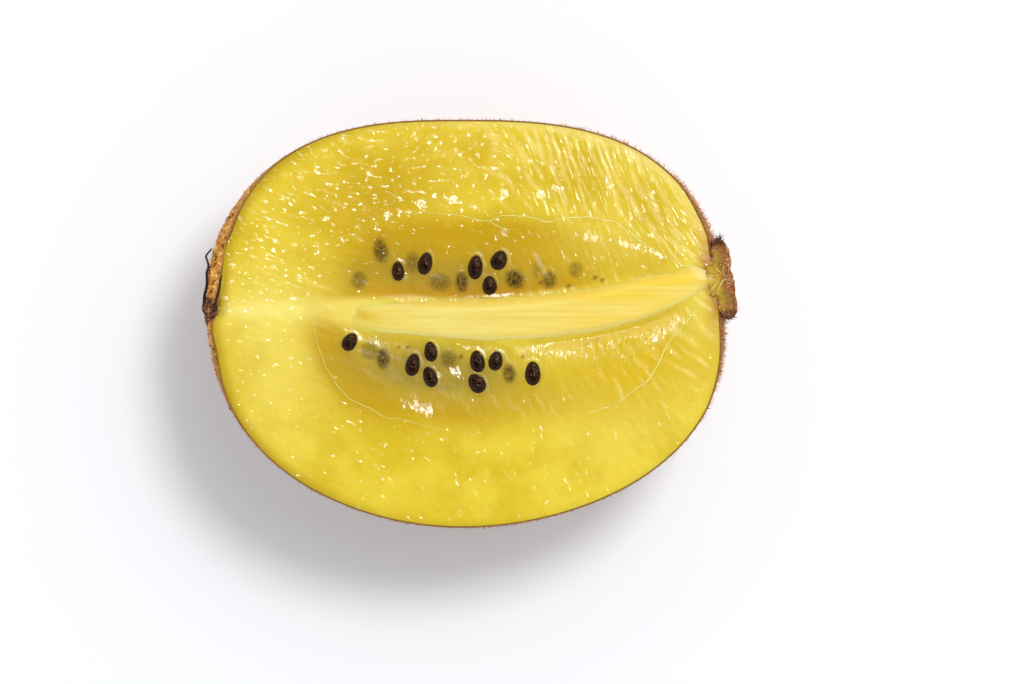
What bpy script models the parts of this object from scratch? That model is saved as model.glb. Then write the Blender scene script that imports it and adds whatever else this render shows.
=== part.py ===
"""Half of a golden kiwi fruit, cut lengthwise, lying on its rounded back with the cut face up.

The long axis runs along X, from the blossom end at -X to the stem end at +X. The origin is on the
surface that the half lies on, under the middle of its box. Sizes are metres.
"""

import math

import bmesh
import bpy
from mathutils import Matrix, Vector

# The outline of the cut, seen from above: a superellipse about its own middle, with a different
# reach each way, and squarer on the +Y side than on the -Y side.
MIDDLE_X = -0.00087
MIDDLE_Y = 0.00067
REACH_STEM = 0.0307
REACH_BLOSSOM = 0.0289
REACH_FAR = 0.0231
REACH_NEAR = 0.0244
SQUARENESS = 2.37
SQUARENESS_SWING = 0.34

# The back: how deep the half is under its cut face, and how full its belly is.
HEIGHT = 0.0226
REST_FLAT = 0.00018
BELLY = 2.2
TIP_ANGLE = math.radians(171)
TIP_SPREAD = math.radians(24)
TIP_BULGE = 0.0012
TIP_BULGE_DEPTH = 0.0050

# How far everything is moved in X and Y at the end, so that the box stands evenly round the origin.
BOX_SHIFT = (0.00022, -0.00002)

SKIN = 0.0005
GAP = 0.0003

# Points nearer than a weld become one, and so do those that a Boolean leaves nearer than a sliver.
WELD = 0.000001
SLIVER = 0.00001
SHARP_FROM = math.radians(40)

BACK_SEGMENTS = 64
BACK_RINGS = 24
# The ball that the back is drawn from has its middle ring at zero, but for rounding.
BALL_LEVEL = 0.000001
# How far to step along the skin to find which way it faces.
SKIN_STEP = math.radians(0.5)

# The core: stations of (x, y, half width) from the blossom end to the stem end.
CORE_STATIONS = (
    (-0.0280, 0.0014, 0.0006),
    (-0.0215, 0.0012, 0.0009),
    (-0.0145, 0.0013, 0.0018),
    (-0.0080, 0.0008, 0.0023),
    (-0.0010, 0.0005, 0.0026),
    (0.0070, 0.0008, 0.0027),
    (0.0150, 0.0019, 0.0027),
    (0.0205, 0.0032, 0.0024),
    (0.0265, 0.0049, 0.0014),
)
CORE_AXIS_DEPTH = 0.0004
CORE_RISE = 0.00025
CORE_STEPS = 3
CORE_ROUNDNESS = 3

# The two hollows where the seed chambers were cut open: middle, reach along and across, turn.
HOLLOWS = {
    "far": ((-0.0020, 0.0068), (0.0175, 0.0050), 3.0),
    "near": ((0.0005, -0.0052), (0.0200, 0.0052), 4.0),
}
HOLLOW_THICKNESS = 0.0020
HOLLOW_DEPTH = 0.0008
HOLLOW_SEGMENTS = 40
HOLLOW_RINGS = 16

# Seeds in the opened chambers: x, y, length, width, turn of the long side from +Y towards +X in
# degrees, and how far the seed's middle stands over the bottom of the hollow.
SEEDS_FAR = (
    (-0.01034, 0.00848, 0.0029, 0.0016, -8, 0.0000),
    (-0.00831, 0.00610, 0.0026, 0.0015, -4, 0.0001),
    (-0.00515, 0.00703, 0.0027, 0.0017, 13, 0.0003),
    (-0.00080, 0.00486, 0.0021, 0.0014, -6, 0.0000),
    (0.00068, 0.00655, 0.0030, 0.0018, 5, 0.0003),
    (0.00343, 0.00742, 0.0025, 0.0019, 24, 0.0003),
    (0.00233, 0.00449, 0.0022, 0.0017, -4, 0.0003),
    (0.00523, 0.00522, 0.0022, 0.0018, -45, 0.0000),
    (0.00943, 0.00536, 0.0021, 0.0015, 12, -0.0001),
)
SEEDS_NEAR = (
    (-0.01390, -0.00208, 0.0023, 0.0017, 30, 0.0002),
    (-0.01006, -0.00409, 0.0022, 0.0014, -6, 0.0000),
    (-0.00659, -0.00474, 0.0028, 0.0017, 11, 0.0003),
    (-0.00450, -0.00320, 0.0024, 0.0016, -10, 0.0003),
    (-0.00458, -0.00616, 0.0025, 0.0017, -20, 0.0003),
    (0.00090, -0.00440, 0.0027, 0.0018, -12, 0.0003),
    (0.00084, -0.00686, 0.0026, 0.0019, -35, 0.0003),
    (0.00304, -0.00427, 0.0024, 0.0018, 10, 0.0003),
    (0.00457, -0.00580, 0.0022, 0.0014, -8, 0.0000),
    (0.00734, -0.00573, 0.0030, 0.0019, 0, 0.0003),
)
SEED_THICKNESS = 0.0013
SEED_TAPER = 0.14
SEED_HIGHEST_MIDDLE = HEIGHT - 0.0001
SEED_SIDES = 12
SEED_RINGS = 8

# The stem end: a woody ring round the stub of the stalk, cut through with the fruit.
SCAR_CENTRE = (0.0295, 0.0053)
SCAR_TURN = math.radians(9)
SCAR_RING_RADIUS = 0.0029
SCAR_RING_REACH = 0.0017
SCAR_RING_RISE = 0.0010
SCAR_RING_STEPS = 40
SCAR_RING_SIDES = 12
# The ring swells by these shares: in a few broad lobes, and in many fine ripples.
SCAR_LOBES = 5
SCAR_LOBE_SHARE = 0.11
SCAR_LOBE_START = 0.4
SCAR_RIPPLES = 11
SCAR_RIPPLE_SHARE = 0.06
SCAR_STUB_RADIUS = 0.0021
SCAR_STUB_TAPER = 0.0004
SCAR_STUB_INNER = -0.0018
SCAR_STUB_OUTER = 0.0005
SCAR_WINDOW = 0.0009
SCAR_PLUG_SIDES = 24

# The blossom end: what is left of the flower, a dry knot with styles lying along the skin.
KNOT_ANGLE = math.radians(177)
KNOT_DEPTH = 0.0028
KNOT_RADIUS = 0.0008
KNOT_PEG_RADIUS = 0.00045
KNOT_PEG_REACH = 0.0007
KNOT_PEG_SIDES = 12
KNOT_FLATNESS = 0.38
# Its lumps are waves across it: their heights as shares of its radius, and their turns in a metre.
KNOT_BROAD_LUMP = 0.12
KNOT_FINE_LUMP = 0.10
KNOT_WAVES = Vector((4300, 5200, 6100))
KNOT_WAVE_START = 2
STYLE_THICKNESS = 0.00042
STYLE_CLEAR = 0.0003
STYLE_STEPS = 4
STYLE_ROOT = 1.15
STYLE_THINNING = 0.5
# Each style is a list of (angle round the fruit in degrees, depth under the cut, rise off the skin).
STYLES = (
    (
        (177, 0.0028, 0.0), (174, 0.0027, 0.0001), (171, 0.0022, 0.0),
        (168, 0.0018, 0.0002), (165, 0.0014, 0.0006),
    ),
    ((177, 0.0026, 0.0), (175.5, 0.0017, 0.0), (173.5, 0.0010, 0.0), (171, 0.0006, 0.0001)),
    ((177, 0.0030, 0.0), (179, 0.0048, 0.0), (182, 0.0064, 0.0001)),
    ((178, 0.0032, 0.0), (181, 0.0046, 0.0), (184, 0.0062, 0.0002)),
    ((176, 0.0030, 0.0), (175, 0.0050, 0.0), (172, 0.0070, 0.0002)),
)

COLOURS = {
    "skin": ((0.30, 0.17, 0.07), 0.75),
    "flesh": ((0.80, 0.60, 0.08), 0.35),
    "core": ((0.88, 0.74, 0.28), 0.40),
    "stem_scar": ((0.22, 0.12, 0.05), 0.85),
    "blossom_knot": ((0.06, 0.03, 0.02), 0.80),
}


def clear_scene():
    for obj in list(bpy.data.objects):
        bpy.data.objects.remove(obj)


def new_collection(name):
    collection = bpy.data.collections.new(name)
    bpy.context.scene.collection.children.link(collection)
    return collection


def material(name):
    colour, roughness = COLOURS[name]
    made = bpy.data.materials.new(name)
    made.use_nodes = True
    shader = made.node_tree.nodes["Principled BSDF"]
    shader.inputs["Base Color"].default_value = (*colour, 1.0)
    shader.inputs["Roughness"].default_value = roughness
    shader.inputs["Metallic"].default_value = 0.0
    return made


def add_mesh(name, form, collection):
    """A new object in the collection, from a bmesh, which is freed."""
    mesh = bpy.data.meshes.new(name)
    form.to_mesh(mesh)
    form.free()
    obj = bpy.data.objects.new(name, mesh)
    collection.objects.link(obj)
    return obj


def finish(obj, name):
    """Gives a part its material and smooth shading with sharp cut edges."""
    obj.data.materials.clear()
    obj.data.materials.append(material(name))
    obj.data.shade_smooth()
    obj.data.set_sharp_from_angle(angle=SHARP_FROM)


def as_cutter(obj):
    obj.hide_render = True
    obj.display_type = "WIRE"
    return obj


def boolean(obj, operation, other):
    """A Boolean with another object, or with every object of a collection.

    The EXACT solver leaves open edges where these round surfaces graze each other.
    """
    modifier = obj.modifiers.new(operation.lower(), "BOOLEAN")
    modifier.operation = operation
    modifier.solver = "MANIFOLD"
    if isinstance(other, bpy.types.Collection):
        modifier.operand_type = "COLLECTION"
        modifier.collection = other
    else:
        modifier.object = other
    return modifier


def apply_modifiers(obj):
    """Applies the modifiers, and welds the slivers that a Boolean leaves where surfaces graze."""
    graph = bpy.context.evaluated_depsgraph_get()
    made = bpy.data.meshes.new_from_object(obj.evaluated_get(graph))
    obj.modifiers.clear()
    obj.data = made
    form = bmesh.new()
    form.from_mesh(made)
    bmesh.ops.triangulate(form, faces=form.faces)
    bmesh.ops.remove_doubles(form, verts=form.verts, dist=SLIVER)
    bmesh.ops.dissolve_degenerate(form, edges=form.edges, dist=SLIVER)
    form.to_mesh(made)
    form.free()


def mesh_from_curve(curve_object):
    """Turns a curve object into a mesh object with its caps welded on, and removes the curve."""
    graph = bpy.context.evaluated_depsgraph_get()
    mesh = bpy.data.meshes.new_from_object(curve_object.evaluated_get(graph))
    form = bmesh.new()
    form.from_mesh(mesh)
    bmesh.ops.remove_doubles(form, verts=form.verts, dist=WELD)
    form.to_mesh(mesh)
    form.free()
    name = curve_object.name
    collection = curve_object.users_collection[0]
    place = curve_object.matrix_world.copy()
    bpy.data.objects.remove(curve_object)
    obj = bpy.data.objects.new(name, mesh)
    obj.matrix_world = place
    collection.objects.link(obj)
    return obj


def cap_below(form, height):
    """Cuts the form flat at this height, keeps what is above, and closes it."""
    cut_flat(form, height, keep_above=True)


def cap_above(form, height):
    """Cuts the form flat at this height, keeps what is below, and closes it."""
    cut_flat(form, height, keep_above=False)


def cut_flat(form, height, keep_above):
    done = bmesh.ops.bisect_plane(
        form,
        geom=[*form.verts, *form.edges, *form.faces],
        plane_co=(0, 0, height),
        plane_no=(0, 0, 1),
        clear_inner=keep_above,
        clear_outer=not keep_above,
    )
    rim = [e for e in done["geom_cut"] if isinstance(e, bmesh.types.BMEdge)]
    bmesh.ops.edgenet_fill(form, edges=rim)


def outline_radius(angle):
    """How far the cut's outline lies from its middle, in this direction."""
    reach_x = REACH_STEM if math.cos(angle) > 0 else REACH_BLOSSOM
    reach_y = REACH_FAR if math.sin(angle) > 0 else REACH_NEAR
    power = SQUARENESS + SQUARENESS_SWING * math.sin(angle)
    across = abs(math.cos(angle) / reach_x) ** power
    along = abs(math.sin(angle) / reach_y) ** power
    return (across + along) ** (-1 / power)


def bulge(angle, depth):
    """How far the blossom end swells past the cut's outline, at this depth under the cut."""
    away = (angle - TIP_ANGLE + math.pi) % (2 * math.pi) - math.pi
    share = depth / TIP_BULGE_DEPTH
    return TIP_BULGE * math.exp(-((away / TIP_SPREAD) ** 2)) * share * math.exp(1 - share)


def back_point(angle, fall, inset):
    """A point of the fruit's back: fall is 0 at the cut's rim and a right angle at the bottom."""
    deep = (HEIGHT + REST_FLAT - inset) * max(0.0, math.sin(fall)) ** (2 / BELLY)
    out = (outline_radius(angle) - inset) * max(0.0, math.cos(fall)) ** (2 / BELLY)
    out += bulge(angle, deep) * math.cos(fall)
    return Vector((MIDDLE_X + out * math.cos(angle), MIDDLE_Y + out * math.sin(angle), HEIGHT - deep))


def skin_point(angle, depth, off):
    """A point this far off the skin, at this depth under the cut."""
    share = (depth / (HEIGHT + REST_FLAT)) ** (BELLY / 2)
    fall = math.asin(min(1.0, share))
    here = back_point(angle, fall, 0)
    along = back_point(angle + SKIN_STEP, fall, 0) - back_point(angle - SKIN_STEP, fall, 0)
    down = back_point(angle, fall + SKIN_STEP, 0) - back_point(angle, max(0, fall - SKIN_STEP), 0)
    return here + along.cross(down).normalized() * -off


def half_body(inset):
    """The lower half of a sphere, drawn out to the fruit's back. Its top is open."""
    form = bmesh.new()
    bmesh.ops.create_uvsphere(form, u_segments=BACK_SEGMENTS, v_segments=BACK_RINGS, radius=1)
    upper = [v for v in form.verts if v.co.z > BALL_LEVEL]
    bmesh.ops.delete(form, geom=upper, context="VERTS")
    for vert in form.verts:
        angle = math.atan2(vert.co.y, vert.co.x)
        fall = math.asin(max(-1.0, min(1.0, -vert.co.z)))
        vert.co = back_point(angle, fall, inset)
    return form


def make_skin(collection, cutters):
    """The thin skin: the back as an open shell, thickened inwards, with a seat for each end."""
    form = half_body(0)
    cap_below(form, 0)
    skin = add_mesh("skin", form, collection)
    shell = skin.modifiers.new("thickness", "SOLIDIFY")
    shell.thickness = SKIN
    shell.offset = -1
    shell.use_even_offset = True
    boolean(skin, "DIFFERENCE", cutters)
    finish(skin, "skin")
    return skin


def make_flesh(collection, cutters, seeds):
    """The flesh inside the skin, with its cut face up, hollows in it and seeds standing in them."""
    inset = SKIN + GAP
    form = half_body(inset)
    rim = [e for e in form.edges if e.is_boundary]
    bmesh.ops.edgenet_fill(form, edges=rim)
    cap_below(form, inset)
    bmesh.ops.recalc_face_normals(form, faces=form.faces)
    flesh = add_mesh("flesh", form, collection)
    boolean(flesh, "DIFFERENCE", cutters)
    apply_modifiers(flesh)
    boolean(flesh, "UNION", seeds)
    apply_modifiers(flesh)
    finish(flesh, "flesh")
    return flesh


def make_hollow(name, collection):
    """A flat lens that opens one seed chamber in the cut face."""
    (x, y), (along, across), turn = HOLLOWS[name]
    form = bmesh.new()
    bmesh.ops.create_uvsphere(form, u_segments=HOLLOW_SEGMENTS, v_segments=HOLLOW_RINGS, radius=1)
    bmesh.ops.scale(form, vec=(along, across, HOLLOW_THICKNESS), verts=form.verts)
    turned = Matrix.Rotation(math.radians(turn), 3, "Z")
    bmesh.ops.rotate(form, cent=(0, 0, 0), matrix=turned, verts=form.verts)
    lift = HOLLOW_THICKNESS - HOLLOW_DEPTH
    bmesh.ops.translate(form, vec=(x, y, HEIGHT + lift), verts=form.verts)
    return as_cutter(add_mesh("hollow_" + name, form, collection))


def core_spindle(name, grow, collection):
    """The core as a tube of changing thickness through its stations."""
    curve = bpy.data.curves.new(name, "CURVE")
    curve.dimensions = "3D"
    curve.resolution_u = CORE_STEPS
    curve.bevel_depth = 1.0
    curve.bevel_resolution = CORE_ROUNDNESS
    curve.use_fill_caps = True
    spline = curve.splines.new("BEZIER")
    spline.radius_interpolation = "CARDINAL"
    spline.bezier_points.add(len(CORE_STATIONS) - 1)
    for point, (x, y, half_width) in zip(spline.bezier_points, CORE_STATIONS):
        point.co = (x, y, HEIGHT - CORE_AXIS_DEPTH)
        point.handle_left_type = "AUTO"
        point.handle_right_type = "AUTO"
        point.radius = math.hypot(half_width, CORE_AXIS_DEPTH) + grow
    obj = bpy.data.objects.new(name, curve)
    collection.objects.link(obj)
    return mesh_from_curve(obj)


def make_core(collection, scar_cutter):
    """The pale core, cut along its length with the fruit. It stands a little over the flesh."""
    core = core_spindle("core", 0, collection)
    form = bmesh.new()
    form.from_mesh(core.data)
    cap_above(form, HEIGHT + CORE_RISE)
    form.to_mesh(core.data)
    form.free()
    boolean(core, "DIFFERENCE", scar_cutter)
    finish(core, "core")
    return core


def make_seed(place, hollow_floor, collection):
    """One seed: an egg, narrower at its +Y end before it is turned, lying on its flat side."""
    x, y, length, width, turn, rise = place
    form = bmesh.new()
    bmesh.ops.create_uvsphere(form, u_segments=SEED_SIDES, v_segments=SEED_RINGS, radius=1)
    laid_down = Matrix.Rotation(math.pi / 2, 3, "X")
    bmesh.ops.rotate(form, cent=(0, 0, 0), matrix=laid_down, verts=form.verts)
    for vert in form.verts:
        taper = 1 - SEED_TAPER * vert.co.y
        vert.co = (
            vert.co.x * width / 2 * taper,
            vert.co.y * length / 2,
            vert.co.z * SEED_THICKNESS / 2 * taper,
        )
    turned = Matrix.Rotation(-math.radians(turn), 3, "Z")
    bmesh.ops.rotate(form, cent=(0, 0, 0), matrix=turned, verts=form.verts)
    middle = min(hollow_floor + rise, SEED_HIGHEST_MIDDLE)
    bmesh.ops.translate(form, vec=(x, y, middle), verts=form.verts)
    return add_mesh("seed", form, collection)


def hollow_floor_at(name, x, y):
    """The height of the cut face inside a hollow, at this place."""
    (cx, cy), (along, across), turn = HOLLOWS[name]
    turned = Matrix.Rotation(-math.radians(turn), 2) @ Vector((x - cx, y - cy))
    share = 1 - (turned.x / along) ** 2 - (turned.y / across) ** 2
    if share <= 0:
        return HEIGHT
    lift = HOLLOW_THICKNESS - HOLLOW_DEPTH
    return min(HEIGHT, HEIGHT + lift - HOLLOW_THICKNESS * math.sqrt(share))


def make_seeds(collection):
    for name, places in (("far", SEEDS_FAR), ("near", SEEDS_NEAR)):
        for place in places:
            make_seed(place, hollow_floor_at(name, place[0], place[1]), collection)


def scar_ring(name, grow, collection):
    """The woody ring: a flat torus that swells into the stumps of five sepals round its way."""
    bpy.ops.mesh.primitive_torus_add(
        major_segments=SCAR_RING_STEPS,
        minor_segments=SCAR_RING_SIDES,
        major_radius=SCAR_RING_RADIUS,
        minor_radius=SCAR_RING_REACH,
    )
    obj = bpy.context.object
    obj.name = name
    for vert in obj.data.vertices:
        round_way = math.atan2(vert.co.y, vert.co.x)
        middle = Vector((math.cos(round_way), math.sin(round_way), 0)) * SCAR_RING_RADIUS
        arm = vert.co - middle
        arm.z *= SCAR_RING_RISE / SCAR_RING_REACH
        lobes = SCAR_LOBE_SHARE * math.cos(SCAR_LOBES * round_way + SCAR_LOBE_START)
        ripples = SCAR_RIPPLE_SHARE * math.sin(SCAR_RIPPLES * round_way)
        vert.co = middle + arm * (1 + lobes + ripples) + arm.normalized() * grow
    return placed_on_stem_end(obj, collection)


def scar_plug(name, radius_in, radius_out, inner, outer, collection):
    """A plug on the stem end's axis, from inside the fruit to outside."""
    form = bmesh.new()
    bmesh.ops.create_cone(
        form,
        cap_ends=True,
        segments=SCAR_PLUG_SIDES,
        radius1=radius_in,
        radius2=radius_out,
        depth=outer - inner,
    )
    bmesh.ops.translate(form, vec=(0, 0, (outer + inner) / 2), verts=form.verts)
    return placed_on_stem_end(add_mesh(name, form, collection), collection)


def scar_stub(name, grow, collection):
    """The stub of the stalk, a plug through the ring into the end of the core."""
    wide = SCAR_STUB_RADIUS + grow
    inner = SCAR_STUB_INNER - grow
    outer = SCAR_STUB_OUTER + grow
    return scar_plug(name, wide - SCAR_STUB_TAPER, wide, inner, outer, collection)


def placed_on_stem_end(obj, collection):
    """Turns a shape made round Z so that it faces out of the stem end."""
    facing = Matrix.Rotation(SCAR_TURN, 4, "Z") @ Matrix.Rotation(math.pi / 2, 4, "Y")
    obj.data.transform(Matrix.Translation((*SCAR_CENTRE, HEIGHT)) @ facing)
    for other in list(obj.users_collection):
        other.objects.unlink(obj)
    collection.objects.link(obj)
    return obj


def make_scar_cutter(collection, spare):
    """The stem scar grown by the gap, which makes its seat in the flesh, the core and the skin."""
    stub = scar_stub("scar_cutter_stub", GAP, spare)
    window = scar_plug("scar_window", SCAR_RING_RADIUS, SCAR_RING_RADIUS, -SCAR_WINDOW, SCAR_WINDOW, spare)
    cutter = scar_ring("scar_cutter", GAP, collection)
    boolean(cutter, "UNION", stub)
    boolean(cutter, "UNION", window)
    apply_modifiers(cutter)
    bpy.data.objects.remove(stub)
    bpy.data.objects.remove(window)
    return as_cutter(cutter)


def make_stem_scar(collection, spare):
    stub = scar_stub("scar_stub", 0, spare)
    scar = scar_ring("stem_scar", 0, collection)
    boolean(scar, "UNION", stub)
    apply_modifiers(scar)
    bpy.data.objects.remove(stub)
    form = bmesh.new()
    form.from_mesh(scar.data)
    cap_above(form, HEIGHT)
    form.to_mesh(scar.data)
    form.free()
    finish(scar, "stem_scar")
    return scar


def knot_place(off):
    return skin_point(KNOT_ANGLE, KNOT_DEPTH, off)


def knot_outward():
    """The way straight out of the skin at the knot."""
    return (knot_place(KNOT_RADIUS) - knot_place(0)).normalized()


def knot_peg(name, radius, reach, collection):
    """A peg along the skin's outward direction at the knot, from this far inside the fruit."""
    start = knot_place(-reach)
    end = knot_place(KNOT_RADIUS)
    form = bmesh.new()
    bmesh.ops.create_cone(
        form,
        cap_ends=True,
        segments=KNOT_PEG_SIDES,
        radius1=radius,
        radius2=radius,
        depth=(end - start).length,
    )
    obj = add_mesh(name, form, collection)
    turn = knot_outward().to_track_quat("Z", "Y").to_matrix().to_4x4()
    obj.data.transform(Matrix.Translation((start + end) / 2) @ turn)
    return obj


def make_style(index, route, collection):
    """One dry style: a thin tube that follows the skin a little off it."""
    clear = STYLE_CLEAR + STYLE_THICKNESS / 2
    curve = bpy.data.curves.new(f"style_{index}", "CURVE")
    curve.dimensions = "3D"
    curve.resolution_u = STYLE_STEPS
    curve.bevel_depth = STYLE_THICKNESS / 2
    curve.bevel_resolution = 1
    curve.use_fill_caps = True
    spline = curve.splines.new("BEZIER")
    spline.bezier_points.add(len(route) - 1)
    for place, (point, (angle, depth, rise)) in enumerate(zip(spline.bezier_points, route)):
        point.co = skin_point(math.radians(angle), depth, clear + rise)
        point.handle_left_type = "AUTO"
        point.handle_right_type = "AUTO"
        point.radius = STYLE_ROOT - STYLE_THINNING * place / (len(route) - 1)
    obj = bpy.data.objects.new(f"style_{index}", curve)
    collection.objects.link(obj)
    return mesh_from_curve(obj)


def make_blossom_knot(collection):
    """The dry knot at the blossom end, pegged through the skin, with its styles joined to it."""
    form = bmesh.new()
    bmesh.ops.create_icosphere(form, subdivisions=2, radius=KNOT_RADIUS)
    outward = knot_outward()
    for vert in form.verts:
        wave = vert.co * KNOT_WAVES
        broad = KNOT_BROAD_LUMP * math.sin(wave.x + KNOT_WAVE_START) * math.cos(wave.y)
        vert.co *= 1 + broad + KNOT_FINE_LUMP * math.sin(wave.z)
        vert.co -= outward * vert.co.dot(outward) * (1 - KNOT_FLATNESS)
    bmesh.ops.translate(form, vec=knot_place(KNOT_RADIUS * KNOT_FLATNESS + STYLE_CLEAR), verts=form.verts)
    knot = add_mesh("blossom_knot", form, collection)
    repeats = new_collection("styles")
    knot_peg("knot_peg", KNOT_PEG_RADIUS, KNOT_PEG_REACH, repeats)
    for index, route in enumerate(STYLES):
        make_style(index, route, repeats)
    boolean(knot, "UNION", repeats)
    apply_modifiers(knot)
    remove_all(repeats)
    finish(knot, "blossom_knot")
    return knot


def hold_together(collection):
    """Hangs every part on one empty, which puts the middle of their box over the origin."""
    frame = bpy.data.objects.new("golden_kiwi_half_frame", None)
    frame.location = (*BOX_SHIFT, 0)
    collection.objects.link(frame)
    for obj in collection.objects:
        if obj is not frame:
            obj.parent = frame


def remove_all(collection):
    for obj in list(collection.objects):
        bpy.data.objects.remove(obj)
    bpy.data.collections.remove(collection)


def main():
    clear_scene()
    kiwi = new_collection("golden_kiwi_half")
    skin_cutters = new_collection("skin_cutters")
    flesh_cutters = new_collection("flesh_cutters")
    spare = new_collection("spare")

    scar_cutter = make_scar_cutter(flesh_cutters, spare)
    skin_cutters.objects.link(scar_cutter)
    as_cutter(knot_peg("knot_hole", KNOT_PEG_RADIUS + GAP, 2 * KNOT_PEG_REACH, skin_cutters))
    as_cutter(core_spindle("core_trough", GAP, flesh_cutters))
    for name in HOLLOWS:
        make_hollow(name, flesh_cutters)

    seeds = new_collection("seeds")
    make_seeds(seeds)
    make_flesh(kiwi, flesh_cutters, seeds)
    remove_all(seeds)
    make_skin(kiwi, skin_cutters)
    make_core(kiwi, scar_cutter)
    make_stem_scar(kiwi, spare)
    make_blossom_knot(kiwi)
    remove_all(spare)
    hold_together(kiwi)


main()
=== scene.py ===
# %% [markdown]
# Half a golden kiwi, cut side up
#
# This lesson dresses the plain solids of half a golden kiwi. The cut face comes first, because the eye
# goes there: wet flesh with fine ridges, a pale core, thin strands and dark seeds. The bronze skin, its
# short hairs, the woody stem scar and the dry rest of the flower follow. The solids arrive as a fixed
# frame, and the box round them is kept, so that the dressed fruit can be measured against it at the end.

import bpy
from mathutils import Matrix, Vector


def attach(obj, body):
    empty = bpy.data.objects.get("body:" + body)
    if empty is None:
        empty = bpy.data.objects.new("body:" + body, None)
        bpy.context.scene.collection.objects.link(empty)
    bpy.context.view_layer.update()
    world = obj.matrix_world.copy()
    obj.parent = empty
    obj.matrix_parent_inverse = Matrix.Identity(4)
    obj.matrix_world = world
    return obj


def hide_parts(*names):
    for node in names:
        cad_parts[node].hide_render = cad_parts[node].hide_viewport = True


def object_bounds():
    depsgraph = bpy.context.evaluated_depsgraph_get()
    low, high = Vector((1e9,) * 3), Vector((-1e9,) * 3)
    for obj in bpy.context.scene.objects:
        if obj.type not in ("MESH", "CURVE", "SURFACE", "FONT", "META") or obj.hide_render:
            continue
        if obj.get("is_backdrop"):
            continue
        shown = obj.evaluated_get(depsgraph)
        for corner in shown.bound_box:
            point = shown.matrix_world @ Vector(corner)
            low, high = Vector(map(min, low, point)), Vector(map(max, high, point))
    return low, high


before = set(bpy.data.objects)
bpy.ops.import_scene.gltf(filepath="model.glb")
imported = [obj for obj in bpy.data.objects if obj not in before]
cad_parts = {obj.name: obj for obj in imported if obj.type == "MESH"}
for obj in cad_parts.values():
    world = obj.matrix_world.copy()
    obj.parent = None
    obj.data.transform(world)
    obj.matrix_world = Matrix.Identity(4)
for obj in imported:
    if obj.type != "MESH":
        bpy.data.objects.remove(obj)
solid_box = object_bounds()
print("nodes:", sorted(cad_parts))

# %% [markdown]
# The shape of the whole fruit
#
# Every piece follows one outline: a superellipse that reaches a different way to each side. Below the cut
# the same outline shrinks towards a small flat spot, where the fruit lies. Working it out once, for many
# points at a time, keeps flesh, skin and hairs in step. Lengths are in millimetres until a mesh is made.

# %% The outline and the back of the fruit
import math

import bmesh
import bpy
import numpy as np
from mathutils import Matrix, Vector, noise

MM = 0.001
CUT_HEIGHT = 22.6
BOX_SHIFT = (0.22, -0.02)
MIDDLE = (-0.87, 0.67)
REACH_STEM = 30.7
REACH_BLOSSOM = 28.9
REACH_FAR = 23.1
REACH_NEAR = 24.4
SQUARENESS = 2.37
SQUARENESS_SWING = 0.34
REST_FLAT = 0.18
BELLY = 2.2
TIP_ANGLE = math.radians(171)
TIP_SPREAD = math.radians(24)
TIP_BULGE = 1.2
TIP_BULGE_DEPTH = 5.0
RIM_DROP = 0.40
RIM_DROP_DEPTH = 1.5
# How far the cut's rim lies inside the outline, by degrees round the fruit. Skin shows there from above.
RIM_INSET = (
    (0, 0.75), (4, 0.67), (8, 0.55), (12, 0.70), (14.3, 0.98), (16.4, 0.88), (18.5, 0.64), (23.5, 0.58), (32, 0.22),
    (45, 0.05), (140, 0.05), (155, 0.35), (159, 0.50), (163, 0.36), (169, 0.56), (177, 0.60), (179, 0.42),
    (180.8, -0.20), (183, -0.24), (185.5, -0.05), (188, 0.15), (200, 0.08), (340, 0.05), (352, 0.40), (360, 0.75),
)
RIM_INSET_DEPTH = 1.3


def outline_radius(angle):
    """How far the cut's outline lies from its middle, in these directions."""
    reach_x = np.where(np.cos(angle) > 0, REACH_STEM, REACH_BLOSSOM)
    reach_y = np.where(np.sin(angle) > 0, REACH_FAR, REACH_NEAR)
    power = SQUARENESS + SQUARENESS_SWING * np.sin(angle)
    across = np.abs(np.cos(angle) / reach_x) ** power
    along = np.abs(np.sin(angle) / reach_y) ** power
    return (across + along) ** (-1 / power)


def rim_inset(angle):
    """How far the cut's rim lies inside the outline, in these directions."""
    return np.interp(np.degrees(angle) % 360, *zip(*RIM_INSET))


def back_points(angle, fall, inset):
    """Points of the back: fall is 0 at the rim of the cut and a right angle at the bottom."""
    deep = (CUT_HEIGHT + REST_FLAT - inset) * np.clip(np.sin(fall), 0, 1) ** (2 / BELLY)
    away = (angle - TIP_ANGLE + np.pi) % (2 * np.pi) - np.pi
    share = deep / TIP_BULGE_DEPTH
    swell = TIP_BULGE * np.exp(-((away / TIP_SPREAD) ** 2)) * share * np.exp(1 - share)
    out = (outline_radius(angle) - inset) * np.clip(np.cos(fall), 0, 1) ** (2 / BELLY)
    out = out + swell * np.cos(fall) - rim_inset(angle) * np.exp(-((deep / RIM_INSET_DEPTH) ** 2))
    x = MIDDLE[0] + out * np.cos(angle)
    y = MIDDLE[1] + out * np.sin(angle)
    z = CUT_HEIGHT - deep - RIM_DROP * np.exp(-deep / RIM_DROP_DEPTH)
    return np.stack([x, y, np.maximum(z, inset)], axis=-1)


around = np.radians(np.arange(360))
print("outline from", outline_radius(around).min(), "to", outline_radius(around).max(), "mm")

# %% [markdown]
# The camera
#
# The picture is taken from straight above with a long lens, so the cut face shows without perspective.
# One pixel of the picture covers 0.116 mm of the cut face, which fixes how wide the view is.

# %% A camera that looks straight down
PICTURE_WIDTH = 1014
MM_PER_PIXEL = 0.116
CAMERA_AIM = (4.57, -2.11)
CAMERA_DISTANCE = 620.0
SENSOR_WIDTH = 36.0

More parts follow.
